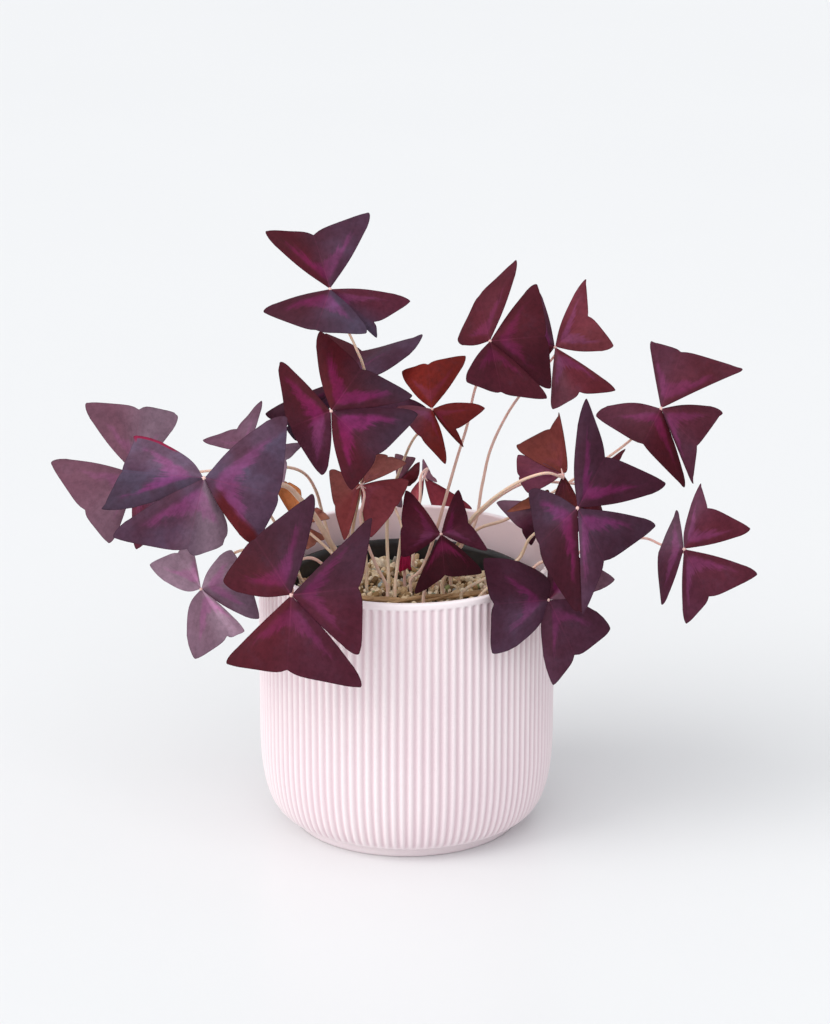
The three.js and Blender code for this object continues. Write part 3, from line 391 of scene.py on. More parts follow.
def make_piece(name, vertices, faces, materials, slot, stands_for=(), slots=None, attributes=None,
               sharp=50):
    """One object from millimetre vertices, which rides on the part's only body. Edges of more
    than sharp degrees stay crisp."""
    mesh = bpy.data.meshes.new(name)
    scaled = np.asarray(vertices, float) * MM
    mesh.from_pydata(scaled.tolist(), [], [tuple(int(i) for i in face) for face in faces])
    for material in materials:
        mesh.materials.append(material)
    if slots is not None:
        mesh.polygons.foreach_set("material_index", np.asarray(slots, dtype=np.int32))
    for key, values in (attributes or {}).items():
        values = np.asarray(values, dtype=np.float32)
        kind = "FLOAT" if values.ndim == 1 else "FLOAT_VECTOR"
        layer = mesh.attributes.new(key, kind, "POINT")
        layer.data.foreach_set("value" if values.ndim == 1 else "vector", values.ravel())
    mesh.polygons.foreach_set("use_smooth", np.ones(len(mesh.polygons), dtype=bool))
    mesh.update()
    mesh.set_sharp_from_angle(angle=math.radians(sharp))
    piece = add_object(name, mesh)
    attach(piece, "root")
    if stands_for:
        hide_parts(*stands_for)


class Build:
    """Gathers several small meshes, with their attributes, into one."""

    def __init__(self):
        self.vertices = []
        self.faces = []
        self.slots = []
        self.attributes = {}
        self.count = 0

    def add(self, vertices, faces, slots, **attributes):
        """An attribute, and slots, may be one value for the whole small mesh."""
        self.vertices.append(np.asarray(vertices, float))
        self.faces.extend([tuple(i + self.count for i in face) for face in faces])
        self.slots.extend([slots] * len(faces) if np.isscalar(slots) else slots)
        for key, values in attributes.items():
            values = np.asarray(values, float)
            if len(values.shape) < 2 and values.shape != (len(vertices),):
                values = np.broadcast_to(values, (len(vertices),) + values.shape)
            self.attributes.setdefault(key, []).append(values)
        self.count += len(vertices)

    def piece(self, name, materials, slot, stands_for=(), **options):
        joined = {key: np.concatenate(values) for key, values in self.attributes.items()}
        make_piece(name, np.concatenate(self.vertices), self.faces, materials, slot, stands_for,
                   self.slots, joined, **options)


def lathe(profile, columns, ripple=None):
    """Turned mesh from (radius, z) rows; ripple(row, angles) is taken off the radius.
    A first or last radius of 0 closes that end with a fan."""
    angles = np.arange(columns) / columns * TURN
    vertices = []
    starts = []
    for index, (radius, z) in enumerate(profile):
        starts.append(len(vertices))
        if radius == 0:
            vertices.append((0.0, 0.0, z))
            continue
        radii = np.full(columns, float(radius))
        if ripple is not None:
            radii = radii - ripple(index, angles)
        ring = np.stack([radii * np.cos(angles), radii * np.sin(angles), np.full(columns, z)], 1)
        vertices.extend(ring.tolist())
    faces = []
    for index in range(len(profile) - 1):
        low, high = starts[index], starts[index + 1]
        for column in range(columns):
            after = (column + 1) % columns
            if profile[index][0] == 0:
                faces.append((low, high + after, high + column))
            elif profile[index + 1][0] == 0:
                faces.append((low + column, low + after, high))
            else:
                faces.append((low + column, low + after, high + after, high + column))
    return np.array(vertices), faces


def smooth_line(points, count):
    """Evenly spaced points on a smooth line through the given points."""
    chain = np.array(points, float)
    chain = np.vstack([2 * chain[0] - chain[1], chain, 2 * chain[-1] - chain[-2]])
    fine = []
    for index in range(1, len(chain) - 2):
        before, start, end, after = chain[index - 1:index + 3]
        gaps = [math.sqrt(max(np.linalg.norm(b - a), 1e-6))
                for a, b in ((before, start), (start, end), (end, after))]
        leaving = (start - before) / gaps[0] - (end - before) / (gaps[0] + gaps[1])
        leaving = (leaving + (end - start) / gaps[1]) * gaps[1]
        arriving = (end - start) / gaps[1] - (after - start) / (gaps[1] + gaps[2])
        arriving = (arriving + (after - end) / gaps[2]) * gaps[1]
        for share in np.linspace(0, 1, LINE_STEPS, endpoint=index == len(chain) - 3):
            square, cube = share ** 2, share ** 3
            fine.append((2 * cube - 3 * square + 1) * start + (cube - 2 * square + share) * leaving
                        + (3 * square - 2 * cube) * end + (cube - square) * arriving)
    fine = np.array(fine)
    lengths = np.concatenate([[0], np.cumsum(np.linalg.norm(np.diff(fine, axis=0), axis=1))])
    return resample(np.linspace(0, lengths[-1], count), lengths, fine)


def resample(places, known, points):
    """Points at new places along a line whose points lie at the known places."""
    return np.stack([np.interp(places, known, axis) for axis in points.T], 1)


def tube(centres, radii, sides, squash=None):
    """Closed tube along centres. squash(index, angle) scales the radius."""
    centres = np.asarray(centres, float)
    ways = np.gradient(centres, axis=0)
    way = unit(ways[0])
    outward = np.array([1.0, 0.0, 0.0])
    outward = unit(outward - way * np.dot(outward, way))
    vertices = []
    for index, centre in enumerate(centres):
        way = unit(ways[index])
        outward = unit(outward - way * np.dot(outward, way))
        sideways = np.cross(way, outward)
        for side in range(sides):
            angle = side / sides * TURN
            radius = radii[index] * (squash(index, angle) if squash else 1.0)
            vertices.append(centre + radius * (math.cos(angle) * outward + math.sin(angle) * sideways))
    faces = []
    last = (len(centres) - 1) * sides
    for low in range(0, last, sides):
        for side in range(sides):
            after = (side + 1) % sides
            faces.append((low + side, low + after, low + sides + after, low + sides + side))
    faces.append(tuple(range(sides - 1, -1, -1)))
    faces.append(tuple(last + side for side in range(sides)))
    return np.array(vertices), faces


def icosphere(rounds):
    """Vertices and triangles of a ball of radius 1, split the given number of times."""
    golden = (1 + math.sqrt(5)) / 2
    corners = [(-1, golden, 0), (1, golden, 0), (-1, -golden, 0), (1, -golden, 0),
               (0, -1, golden), (0, 1, golden), (0, -1, -golden), (0, 1, -golden),
               (golden, 0, -1), (golden, 0, 1), (-golden, 0, -1), (-golden, 0, 1)]
    faces = [(0, 11, 5), (0, 5, 1), (0, 1, 7), (0, 7, 10), (0, 10, 11), (1, 5, 9), (5, 11, 4),
             (11, 10, 2), (10, 7, 6), (7, 1, 8), (3, 9, 4), (3, 4, 2), (3, 2, 6), (3, 6, 8),
             (3, 8, 9), (4, 9, 5), (2, 4, 11), (6, 2, 10), (8, 6, 7), (9, 8, 1)]
    vertices = [unit(np.array(corner, float)) for corner in corners]
    for _ in range(rounds):
        middles = {}
        split = []

        def middle(a, b):
            key = (min(a, b), max(a, b))
            if key not in middles:
                middles[key] = len(vertices)
                vertices.append(unit(vertices[a] + vertices[b]))
            return middles[key]

        for a, b, c in faces:
            ab, bc, ca = middle(a, b), middle(b, c), middle(c, a)
            split += [(a, ab, ca), (b, bc, ab), (c, ca, bc), (ab, bc, ca)]
        faces = split
    return np.array(vertices), faces


# Materials, from nodes alone

class Value:
    """A socket's value in a material, for use in plain sums."""

    def __init__(self, shader, socket):
        self.shader = shader
        self.socket = socket

    def __add__(self, other):
        return self.shader.math("ADD", self, other)

    def __sub__(self, other):
        return self.shader.math("SUBTRACT", self, other)

    def __mul__(self, other):
        return self.shader.math("MULTIPLY", self, other)

    def __truediv__(self, other):
        return self.shader.math("DIVIDE", self, other)

    def __pow__(self, other):
        return self.shader.math("POWER", self, other)

    def __abs__(self):
        return self.shader.math("ABSOLUTE", self)

    def at_least(self, low):
        return self.shader.math("MAXIMUM", self, low)

    def at_most(self, high):
        return self.shader.math("MINIMUM", self, high)

    def steps(self, low, high, start=0, end=1):
        """Goes smoothly from start, where this is low, to end, where it is high."""
        inputs = [self, low, high, start, end]
        return self.shader.node("ShaderNodeMapRange", inputs, interpolation_type="SMOOTHSTEP")

    def split(self):
        made = self.shader.node("ShaderNodeSeparateXYZ", [self])
        return [Value(self.shader, socket) for socket in made.socket.node.outputs]


class Shader:
    """Short names for building one material's nodes."""

    def __init__(self, name):
        self.material = bpy.data.materials.new(name)
        self.material.use_nodes = True
        self.tree = self.material.node_tree

    def put(self, socket, value):
        if isinstance(value, Value):
            self.tree.links.new(value.socket, socket)
        else:
            socket.default_value = colour(value) if isinstance(value, str) else value

    def node(self, kind, inputs=(), output=0, **settings):
        """A new node's output. inputs is a list in the sockets' order, or says which is which."""
        made = self.tree.nodes.new(kind)
        for key, value in settings.items():
            setattr(made, key, value)
        named = inputs.items() if isinstance(inputs, dict) else enumerate(inputs)
        for key, value in named:
            self.put(made.inputs[key], value)
        return Value(self, made.outputs[output])

    def number(self, name):
        return self.node("ShaderNodeAttribute", output="Fac", attribute_name=name)

    def three_numbers(self, name):
        return self.node("ShaderNodeAttribute", output="Vector", attribute_name=name).split()

    def place(self):
        return self.node("ShaderNodeTexCoord", output="Object")

    def math(self, operation, *inputs):
        return self.node("ShaderNodeMath", inputs, operation=operation)

    def join(self, x, y, z):
        return self.node("ShaderNodeCombineXYZ", [x, y, z])

    def noise(self, vector, scale, detail=3, rough=0.55):
        inputs = dict(Vector=vector, Scale=scale, Detail=detail, Roughness=rough)
        return self.node("ShaderNodeTexNoise", inputs, "Fac")

    def cells(self, vector, scale):
        return self.node("ShaderNodeTexVoronoi", dict(Vector=vector, Scale=scale), "Distance")

    def mix(self, share, first, second, blend="MIX"):
        inputs = {0: share, 6: first, 7: second}
        return self.node("ShaderNodeMix", inputs, 2, data_type="RGBA", blend_type=blend)

    def brighten(self, body, gain):
        return self.mix(1, body, self.join(gain, gain, gain), "MULTIPLY")

    def ramp(self, value, stops):
        made = self.node("ShaderNodeValToRGB", [value])
        marks = made.socket.node.color_ramp.elements
        while len(marks) < len(stops):
            marks.new(0.5)
        for mark, (position, text) in zip(marks, stops.items()):
            mark.position = position
            mark.color = colour(text)
        return made

    def bump(self, height, distance, strength):
        inputs = dict(Height=height, Distance=distance, Strength=strength)
        return self.node("ShaderNodeBump", inputs)

    def finish(self, body, rough, shine, **more):
        """Sets the surface and returns the material. shine is the specular level."""
        surface = self.tree.nodes["Principled BSDF"]
        values = dict(Base_Color=body, Roughness=rough, Specular_IOR_Level=shine, **more)
        for key, value in values.items():
            self.put(surface.inputs[key.replace("_", " ")], value)
        return self.material


def colour(text):
    """Linear colour from the usual six hexadecimal digits."""
    channels = [int(text[i:i + 2], 16) / 255 for i in (0, 2, 4)]
    linear = [c / 12.92 if c <= 0.04045 else ((c + 0.055) / 1.055) ** 2.4 for c in channels]
    return (*linear, 1)


# Colours of a blade: its own, where it is red, where painted sheen greys it, where painted light makes it
# paler, and its marking in each
UPPER_COLOURS = dict(body="431323", red="641b15", painted_sheen="44384a", pale="8a7080", vein="74405a",
                     mark="6c1648", red_mark="741a34", painted_sheen_mark="713668", pale_mark="9a6088")
LOWER_COLOURS = dict(body="702a34", red="a0663e", painted_sheen="5c3248", pale="c08478", vein="8f5a50",
                     mark="8a3458", red_mark="9a5a48", painted_sheen_mark="7a3c60", pale_mark="a86a78")
YOUNG_COLOURS = dict(body="951c44", red="a31c3c", painted_sheen="7a2c50", pale="c06080", vein="b8506e",
                     mark="b02458", red_mark="b02448", painted_sheen_mark="903060", pale_mark="c06080")
PAINTED_SHADE_BLADE = "26030f"
CURLED_EDGE = "8c2344"
RED_BAND = "561a1e"
RIM_SHADE = "140308"
MIDRIB = "8c3a5c"
MARGIN_LINE = "2a1219"
FLECKS = "000000"


def blade_material(name, colours, under=False):
    """A leaf blade. leaf_place is (share towards the notch, share towards the tip,
    millimetres to the margin) and leaf_tone is the tone that LEAVES explains: how red, how
    much painted sheen, and how much painted light or, below 0, painted shade. leaf_own is
    (how strong the marking is, a number of the leaflet's own, the trim in LEAVES)."""
    s = Shader(name)
    along, across, margin = s.three_numbers("leaf_place")
    red, painted_sheen, pale = s.three_numbers("leaf_tone")
    strength, own, trim = s.three_numbers("leaf_own")
    light = pale.at_least(0)
    dark = (pale * -1).at_least(0)
    # painted sheen that greys the tip, where trim is above 0
    tip_sheen = trim.at_least(0) * trim.steps(1, 1.2, 1, 0)
    place = s.place()
    radius = along + across
    turn = across / radius.at_least(0.02)
    streaks = s.noise(s.join(turn * 13, radius * 2.2, own), 1, 3, 0.6)
    cloud = s.noise(place, 55)
    fine = s.noise(place, 420, 4, 0.6)
    blots = s.noise(place, 150, 3, 0.6)

    # Magenta marking: an arrow with one arm in each half, frayed on its outer edge
    fray = (streaks - 0.5) * 0.24 + (blots - 0.5) * 0.34
    spread = along + across * 0.45 + fray - (strength * 0.2 + 0.29)
    inner = along + fray * 0.4
    mark = inner.steps(0.06, 0.18) * spread.steps(-0.08, 0.06, 1, 0)
    mark = mark * ((across + fray).steps(0.44, 0.76, 1, 0) * radius.steps(0.1, 0.24))
    mark = mark * blots.steps(0.3, 0.6, 0.7, 1)
    mark = (mark * strength).at_most(1)

    # Veins: the midrib, and fine side veins that leave it at a slant
    slant = along - across * 0.42 + (blots - 0.5) * 0.16
    phase = abs(s.math("FRACT", slant * 11) - 0.5)
    side_vein = phase.steps(0, 0.16, 1, 0) * fine.steps(0.4, 0.6, 0.3, 1)
    midrib = abs(across).steps(0, 0.02, 1, 0) * radius.steps(0.2, 0.8, 1, 0.25)

    # painted sheen greys the blade as the tone says, with random cloud and blots besides
    painted_sheen_and_blots = (painted_sheen + tip_sheen * radius.steps(0.5, 1)) * cloud.steps(0.32, 0.68, 0.65, 1.1)
    painted_sheen_and_blots = (painted_sheen_and_blots + blots.steps(0.5, 0.8, 0, 0.12)).at_most(1)
    # the marking gets the same painted sheen and painted light as the blade
    bright = s.mix(red, colours["mark"], colours["red_mark"])
    bright = s.mix(painted_sheen_and_blots, bright, colours["painted_sheen_mark"])
    bright = s.mix(light, bright, colours["pale_mark"])
    body = s.mix(red, colours["body"], colours["red"])
    body = s.mix(painted_sheen_and_blots, body, colours["painted_sheen"])
    # painted light brightens the blade and makes it paler, and painted shade darkens it where the tone's
    # light is below 0
    body = s.brighten(body, light.at_most(0.4) * 2 + 1)
    body = s.mix(light.steps(0.25, 1.15), body, colours["pale"])
    body = s.mix(dark, body, PAINTED_SHADE_BLADE)
    band = (trim * -1).at_least(0) * (inner.steps(0.12, 0.26, 1, 0) * radius.steps(0.1, 0.4))
    body = s.mix(band, body, RED_BAND)
    body = s.mix(radius.steps(0.5, 1) * 0.24, body, s.mix(0.5, body, RIM_SHADE))
    body = s.mix(mark, body, bright)
    # random cloudy brightness, with more painted light where the tone's light passes 0.95
    body = s.brighten(body, cloud.steps(0.3, 0.7, 0.9, 1.17) + (light - 0.95).at_least(0) * 2)
    curled = trim.steps(1.2, 1.8) * (margin.steps(1.3, 1.8, 1, 0) * across.steps(0.6, 0.7))
    body = s.mix(curled * along.steps(0.05, 0.2, 1, 0), body, CURLED_EDGE)
    body = s.mix(side_vein * 0.03, body, colours["vein"])
    body = s.mix(midrib * 0.2, body, MIDRIB)
    body = s.mix(margin.steps(0.1, 0.5, 1, 0) * 0.3, body, MARGIN_LINE)
    fleck = fine.steps(0.35, 0.65) * streaks.steps(0.3, 0.7, 0.5, 1)
    body = s.mix(fleck * 0.36, body, s.mix(0.65, body, FLECKS))

    # veins stand out below and lie in above
    relief = (side_vein * 0.12 + midrib * 0.4) * (1 if under else -1)
    relief = relief + s.cells(place, 1100) * 0.15 + s.noise(place, 260, 4) * 0.9
    return s.finish(body, cloud.steps(0.3, 0.7, 0.5, 0.62), 0.08, Normal=s.bump(relief, 0.0002, 0.7))


def stem_material():
    """stem_place is (share of the way up, a number of the stem's own, 0)."""
    s = Shader("stem_skin")
    height, own, _ = s.three_numbers("stem_place")
    mottle = s.noise(s.place(), 220, 4)
    tan = s.ramp(height, {0: "f0dcc2", 0.4: "ead0b4", 0.85: "e6c4ae", 1: "e6b8b2"})
    pink = s.ramp(height, {0: "eed2c0", 0.4: "e6c0b2", 0.85: "e4b6ae", 1: "e4b0b0"})
    body = s.mix(own.steps(0.3, 0.8), tan, pink)
    body = s.mix(mottle.steps(0.4, 0.75) * 0.25, body, "c9a089")
    return s.finish(body, 0.5, 0.35, Subsurface_Weight=0.15, Subsurface_Scale=0.001,
                    Normal=s.bump(mottle, 0.0001, 0.6))


def hub_material():
    s = Shader("leaf_joint")
    mottle = s.noise(s.place(), 400)
    body = s.mix(mottle, "dca8a4", "efd0c6")
    return s.finish(body, 0.5, 0.4, Normal=s.bump(mottle, 0.0001, 0.5))


def planter_material():
    """Pale glaze, with painted shade where groove is 1, and painted light that makes the wall's inner face
    lighter and pinker.
    """
    s = Shader("planter_glaze")
    place = s.place()
    cloud = s.noise(place, 14)
    speck = s.noise(place, 900, 2)
    x, y, height = place.split()
    out = s.math("SQRT", x * x + y * y)
    inside = out.steps(INNER_FACE_FROM * MM, INNER_FACE_TO * MM, 1, 0) * height.steps(0.02, 0.03)
    body = s.mix(cloud.steps(0.3, 0.7), "f6eaec", "f3e4e8")
    # painted shade in the grooves between the ribs
    body = s.mix(s.number("groove") ** 1.4 * 0.64, body, "cdadb7")
    # painted light makes the wall's inner face lighter and pinker
    body = s.mix(inside, body, "ffe6ec")
    body = s.mix(speck.steps(0.55, 0.8) * 0.12, body, "d9b9c0")
    return s.finish(body, cloud.steps(0.3, 0.7, 0.42, 0.5), 0.35, Normal=s.bump(speck, 0.00006, 0.5))


def nursery_material():
    s = Shader("black_plastic")
    place = s.place()
    x, y, z = place.split()
    scuff = s.noise(s.join(x * 60, y * 60, z * 500), 1, 4)
    dust = s.noise(place, 90, 4)
    body = s.mix(dust.steps(0.5, 0.8) * 0.25, "17171a", "5d554c")
    return s.finish(body, scuff.steps(0.3, 0.7, 0.3, 0.5), 0.5, Normal=s.bump(scuff, 0.0001, 0.5))


def grit_material():
    """Grains. grain_tint picks the stone, from 0 to 1."""
    s = Shader("grit_grains")
    place = s.place()
    body = s.ramp(s.number("grain_tint"), {0: "5e4632", 0.1: "a08058", 0.25: "d2b48c", 0.5: "ecd6b2",
                                           0.82: "faecd4", 0.9: "bc8a64", 0.95: "a6b6b6", 1: "8f9460"})
    stain = s.noise(place, 420, 5, 0.65)
    body = s.mix(stain.steps(0.46, 0.76) * 0.4, body, "7a5f42")
    relief = stain * 1.4 + s.cells(place, 1500) * 0.5
    return s.finish(body, 0.92, 0.15, Normal=s.bump(relief, 0.0006, 0.9))


def soil_material():
    s = Shader("soil_and_gap_shade")
    lumps = s.noise(s.place(), 160, 5, 0.6)
    # dark soil, near black at its darkest as painted shade in the gaps between the grains
    body = s.mix(lumps.steps(0.35, 0.7), "1b130d", "4a3726")
    return s.finish(body, 0.95, 0.1, Normal=s.bump(lumps, 0.0015, 0.9))


def dry_stem_material():
    """Papery dried stem with fibres along it. fibre is (place round it, place along it, 0)."""
    s = Shader("dried_stem")
    around, along, _ = s.three_numbers("fibre")
    fibres = s.noise(s.join(around * 9, along * 0.12, 0), 1, 5)
    stain = s.noise(s.place(), 120)
    body = s.ramp(fibres, {0.25: "8a684a", 0.5: "c29c74", 0.75: "e6caa2"})
    body = s.mix(stain.steps(0.45, 0.7) * 0.4, body, "7b5a44")
    return s.finish(body, 0.85, 0.2, Normal=s.bump(fibres, 0.0006, 0.9))


def floor_material():
    s = Shader("pale_floor")
    haze = s.noise(s.place(), 3, 2)
    return s.finish(s.mix(haze, (0.765, 0.77, 0.775, 1), (0.785, 0.789, 0.793, 1)), 0.3, 0.3)


upper_blade = blade_material("blade_upper", UPPER_COLOURS)
lower_blade = blade_material("blade_lower", LOWER_COLOURS, under=True)
young_blade = blade_material("blade_young", YOUNG_COLOURS)
stem_skin = stem_material()
leaf_joint = hub_material()
planter_glaze = planter_material()
black_plastic = nursery_material()
grit_stone = grit_material()
soil_and_gap_shade = soil_material()
dried_stem = dry_stem_material()


# Planter

def wall_radius(z):
    if z >= SHOULDER_HEIGHT:
        return PLANTER_RADIUS
    climb = max(0.0, (z - FOOT_HEIGHT) / (SHOULDER_HEIGHT - FOOT_HEIGHT))
    swell = (1 - (1 - climb) ** SHOULDER_FULLNESS) ** (1 / SHOULDER_FULLNESS)
    return FOOT_FLARE + (PLANTER_RADIUS - FOOT_FLARE) * swell


def make_planter():
    top = PLANTER_HEIGHT
    lip = PLANTER_RADIUS + LIP_OVERHANG
    lip_base = top - LIP_HEIGHT
    foot = [(0, 0), (FOOT_RADIUS - 1.2, 0), (FOOT_RADIUS - 0.3, 0.15), (FOOT_RADIUS + 0.1, 0.7),
            (FOOT_RADIUS + 0.3, 1.6), (FOOT_RADIUS + 0.8, 3.6), (FOOT_RADIUS + 1.3, 5.0)]
    heights = [5.8, 6.4, 7.0, 7.7, 8.5, 9.5, 10.7, 12, 13.5, 15.2, 17, 19, 21.3, 24, 27, 30.5, 34.5,
               39, 44, 50, 60, 75, 90, 105, 118, lip_base - 2.2, lip_base - 1.3, lip_base - 0.7,
               lip_base - 0.25]
    wall = [(wall_radius(z), z) for z in heights]
    rim = [(lip, lip_base + 0.1), (lip, lip_base + 0.5), (lip, top - 0.8), (lip - 0.12, top - 0.4),
           (lip - 0.4, top - 0.12), (lip - 0.8, top), (lip - 2.3, top), (lip - 2.75, top - 0.12),
           (lip - 3.0, top - 0.45)]
    inner = PLANTER_RADIUS - PLANTER_WALL
    inside = [(inner, top - 1.0), (inner, 100), (inner, 70), (inner, SHOULDER_HEIGHT), (65.5, 33),
              (61, 21), (56, 11), (50, PLANTER_FLOOR), (0, PLANTER_FLOOR)]
    profile = foot + wall + rim + inside

    # the ribs start above the plain foot and end under the lip
    strengths = np.zeros(len(profile))
    for index, z in enumerate(heights):
        start = smooth_step(RIBS_START, RIBS_FULL, z)
        end = smooth_step(lip_base - RIBS_FULL_BELOW_LIP, lip_base - RIBS_END_BELOW_LIP, z)
        fade = start * (1 - end)
        strengths[len(foot) + index] = RIB_DEPTH * fade

    def ripple(index, angles):
        return strengths[index] * (0.5 + 0.5 * np.cos(angles * RIB_COUNT + math.pi * RIB_COUNT / 2))

    columns = RIB_COUNT * RIB_SAMPLES
    vertices, faces = lathe(profile, columns, ripple)
    angles = np.arange(columns) / columns * TURN
    groove = np.concatenate([[0.0] if radius == 0 else ripple(row, angles) / RIB_DEPTH
                             for row, (radius, _) in enumerate(profile)])
    make_piece("planter_ribbed", vertices, faces, [planter_glaze], attributes={"groove": groove},
               sharp=60, slot="planter", stands_for=["planter"])


# Nursery pot

def nursery_radius(z):
    climb = (z - PLANTER_FLOOR) / (NURSERY_RIM_HEIGHT - PLANTER_FLOOR)
    return NURSERY_BASE_RADIUS + (NURSERY_TOP_RADIUS - NURSERY_BASE_RADIUS) * climb


def make_nursery_pot():
    base = PLANTER_FLOOR + SEAT_GAP
    top = NURSERY_RIM_HEIGHT
    rim = NURSERY_RIM_RADIUS
    outside = [(0, base), (NURSERY_BASE_RADIUS - 1, base), (NURSERY_BASE_RADIUS, base + 1)]
    outside += [(nursery_radius(z), z) for z in (20, 50, 80, top - 3.4)]
    outside += [(rim - 0.5, top - 3.1), (rim, top - 2.6), (rim, top - 0.7), (rim - 0.25, top - 0.2),
                (rim - 0.8, top), (rim - 1.8, top), (nursery_radius(top) - NURSERY_WALL, top - 0.4)]
    inside = [(nursery_radius(z) - NURSERY_WALL, z) for z in (top - 3, 90, 50, base + 1.2)]
    vertices, faces = lathe(outside + inside + [(0, base + 1.2)], NURSERY_COLUMNS)
    make_piece("nursery_pot_black", vertices, faces, [black_plastic], sharp=60, slot="nursery_pot",
               stands_for=["nursery_pot"])


# Grit

def make_bed(draw, edge):
    """Dark mix that fills the nursery pot and shows between the grains, near black as painted shade in the
    gaps.
    """
    bottom = PLANTER_FLOOR + SEAT_GAP + NURSERY_WALL + SEAT_GAP
    level = GRIT_LEVEL - BED_DEPTH
    rows = [(0, bottom), (nursery_radius(bottom) - NURSERY_WALL - GRIT_EDGE_GAP, bottom), (edge, level)]
    rows += [(edge * share, level + 0.4) for share in (0.9, 0.75, 0.6, 0.45, 0.3, 0.15)] + [(0, level)]
    vertices, faces = lathe(rows, BED_COLUMNS)
    tops = vertices[:, 2] > level
    vertices[tops, 2] += [draw.uniform(-1.0, 1.0) for _ in range(int(tops.sum()))]
    make_piece("grit_bed", vertices, faces, [soil_and_gap_shade], slot="grit", stands_for=["grit"])


def cut_stone(draw, ball):
    """The ball with flats cut on it, stretched, and a turn of its own."""
    shape = ball.copy()
    for _ in range(GRAIN_CUTS):
        way = unit(np.array([draw.gauss(0, 1) for _ in range(3)]))
        over = shape @ way - draw.uniform(*GRAIN_CUT_PLACES)
        shape -= np.outer(np.maximum(over, 0) * GRAIN_CUT_SHARE, way)
    shape *= [draw.uniform(*limits) for limits in GRAIN_STRETCHES]
    spin = np.array([[draw.gauss(0, 1) for _ in range(3)] for _ in range(3)])
    spin, _ = np.linalg.qr(spin)
    return shape @ spin.T, np.linalg.det(spin) > 0


def make_grit():
    draw = random.Random(GRIT_SEED)
    edge = nursery_radius(GRIT_LEVEL) - NURSERY_WALL - GRIT_EDGE_GAP
    make_bed(draw, edge)
    dry_stems = [(smooth_line([(x, y, 0) for x, y in spec["points"]], 60)[:, :2], spec["radius"])
                 for spec in DRY_STEMS]

    # grains on top, which show whole, are rounder than those that lie between them
    balls = dict(low=icosphere(1), top=icosphere(2))
    grains = dict(low=Build(), top=Build())
    for _ in range(GRAIN_COUNT):
        size = min(LARGEST_GRAIN, max(SMALLEST_GRAIN, draw.lognormvariate(0.55, 0.3)))
        distance = (edge - 1.0 - size * 0.6) * math.sqrt(draw.random())
        angle = draw.uniform(0, TURN)
        centre = np.array([distance * math.cos(angle), distance * math.sin(angle),
                           GRAINS_FROM + GRAINS_DEPTH * draw.random() ** 1.5])
        for line, radius in dry_stems:
            if np.min(np.linalg.norm(line - centre[:2], axis=1)) < radius + size * 0.4:
                centre[2] = min(centre[2], GRAINS_UNDER_DRY_STEMS)
        layer = "top" if centre[2] > TOP_GRAINS_ABOVE else "low"
        ball, faces = balls[layer]
        shape, outward = cut_stone(draw, ball)
        faces = faces if outward else [face[::-1] for face in faces]
        grains[layer].add(shape * size + centre, faces, 0, grain_tint=draw.random())
    for layer, build in grains.items():
        build.piece("grit_grains_" + layer, [grit_stone], sharp=38, slot="grit")


def make_dry_stem(spec, seed):
    """Flattened strands that wind round each other, the first one thick and whole."""
    draw = random.Random(seed)
    guide = [(x, y, GRIT_LEVEL + spec["radius"] * 0.8 - (0.6 if index % 2 else 0.0))
             for index, (x, y) in enumerate(spec["points"])]
    centres = smooth_line(guide, DRY_STEM_POINTS)
    build = Build()
    ways = np.gradient(centres, axis=0)
    for strand in range(DRY_STEM_STRANDS):
        first = strand == 0
        shift = draw.uniform(0, TURN)
        winding = draw.uniform(1.0, 2.2)
        start = 0 if first else draw.randrange(4, 14)
        end = DRY_STEM_POINTS if first else draw.randrange(50, 68)
        thick = spec["radius"] * (FIRST_STRAND_THICK if first else draw.uniform(*OTHER_STRANDS_THICK))
        off = spec["radius"] * (FIRST_STRAND_OFF if first else OTHER_STRANDS_OFF)
        path = []
        for index in range(start, end):
            way = unit(ways[index])
            flat = unit(np.cross(way, [0, 0, 1]))
            angle = shift + winding * TURN * index / DRY_STEM_POINTS
            across = math.cos(angle) * flat + math.sin(angle) * np.cross(flat, way)
            path.append(centres[index] + off * across)
        share = np.linspace(0, 1, len(path))
        taper = np.minimum(1, 0.35 + 8 * np.minimum(share, 1 - share))
        radii = thick * (0.8 + 0.25 * np.sin(share * 9 + shift)) * taper
        vertices, faces = tube(path, radii, STEM_SIDES,
                               lambda i, a: 0.78 + 0.22 * abs(math.cos(a + shift + i * 0.05)))
        around = np.cos(np.arange(STEM_SIDES) / STEM_SIDES * TURN) + strand * 3
        fibre = [[side, index, 0] for index in range(len(path)) for side in around]
        build.add(vertices, faces, 0, fibre=fibre)
    build.piece(spec["name"] + "_fibres", [dried_stem], slot="dry_stem", stands_for=[spec["name"]])


# Leaves

# Half of a leaflet's outline runs from the notch round the tip to the shoulder, where
# the leaflet's side starts back to the hub. A place on it is (share towards the notch,
# share towards the tip). margin and side say how full the two edges are.
HALF_COLUMNS = 22
TIP_CROWDING = 5
TIP_CROWDING_SPREAD = 0.06
TONE_BLEND = 7
RINGS = 16
RING_SPACING = 0.85
FIRST_RING = 0.03
MARGIN_FULLNESS = 0.058
MARGIN_SQUARENESS = 6
MARGIN_STEPS = (0.04, 0.12, 0.25, 0.42, 0.6, 0.76, 0.88)
SIDE_BULGE = 0.058
SIDE_GAP = 0.016
TIP_POINTS = ((0.088, 0.948), (0.05, 0.984), (0.006, 0.998))
SIDE_POINTS = ((-0.038, 0.985), (-0.075, 0.945), (-0.097, 0.88))
FINE_POINTS = 600
TIP_ROUNDING = 36
TIP_ROUNDING_SPREAD = 0.09
TIP_KEPT = 0.7
EDGE_WAVES = 4
EDGE_TAPER = 3.0


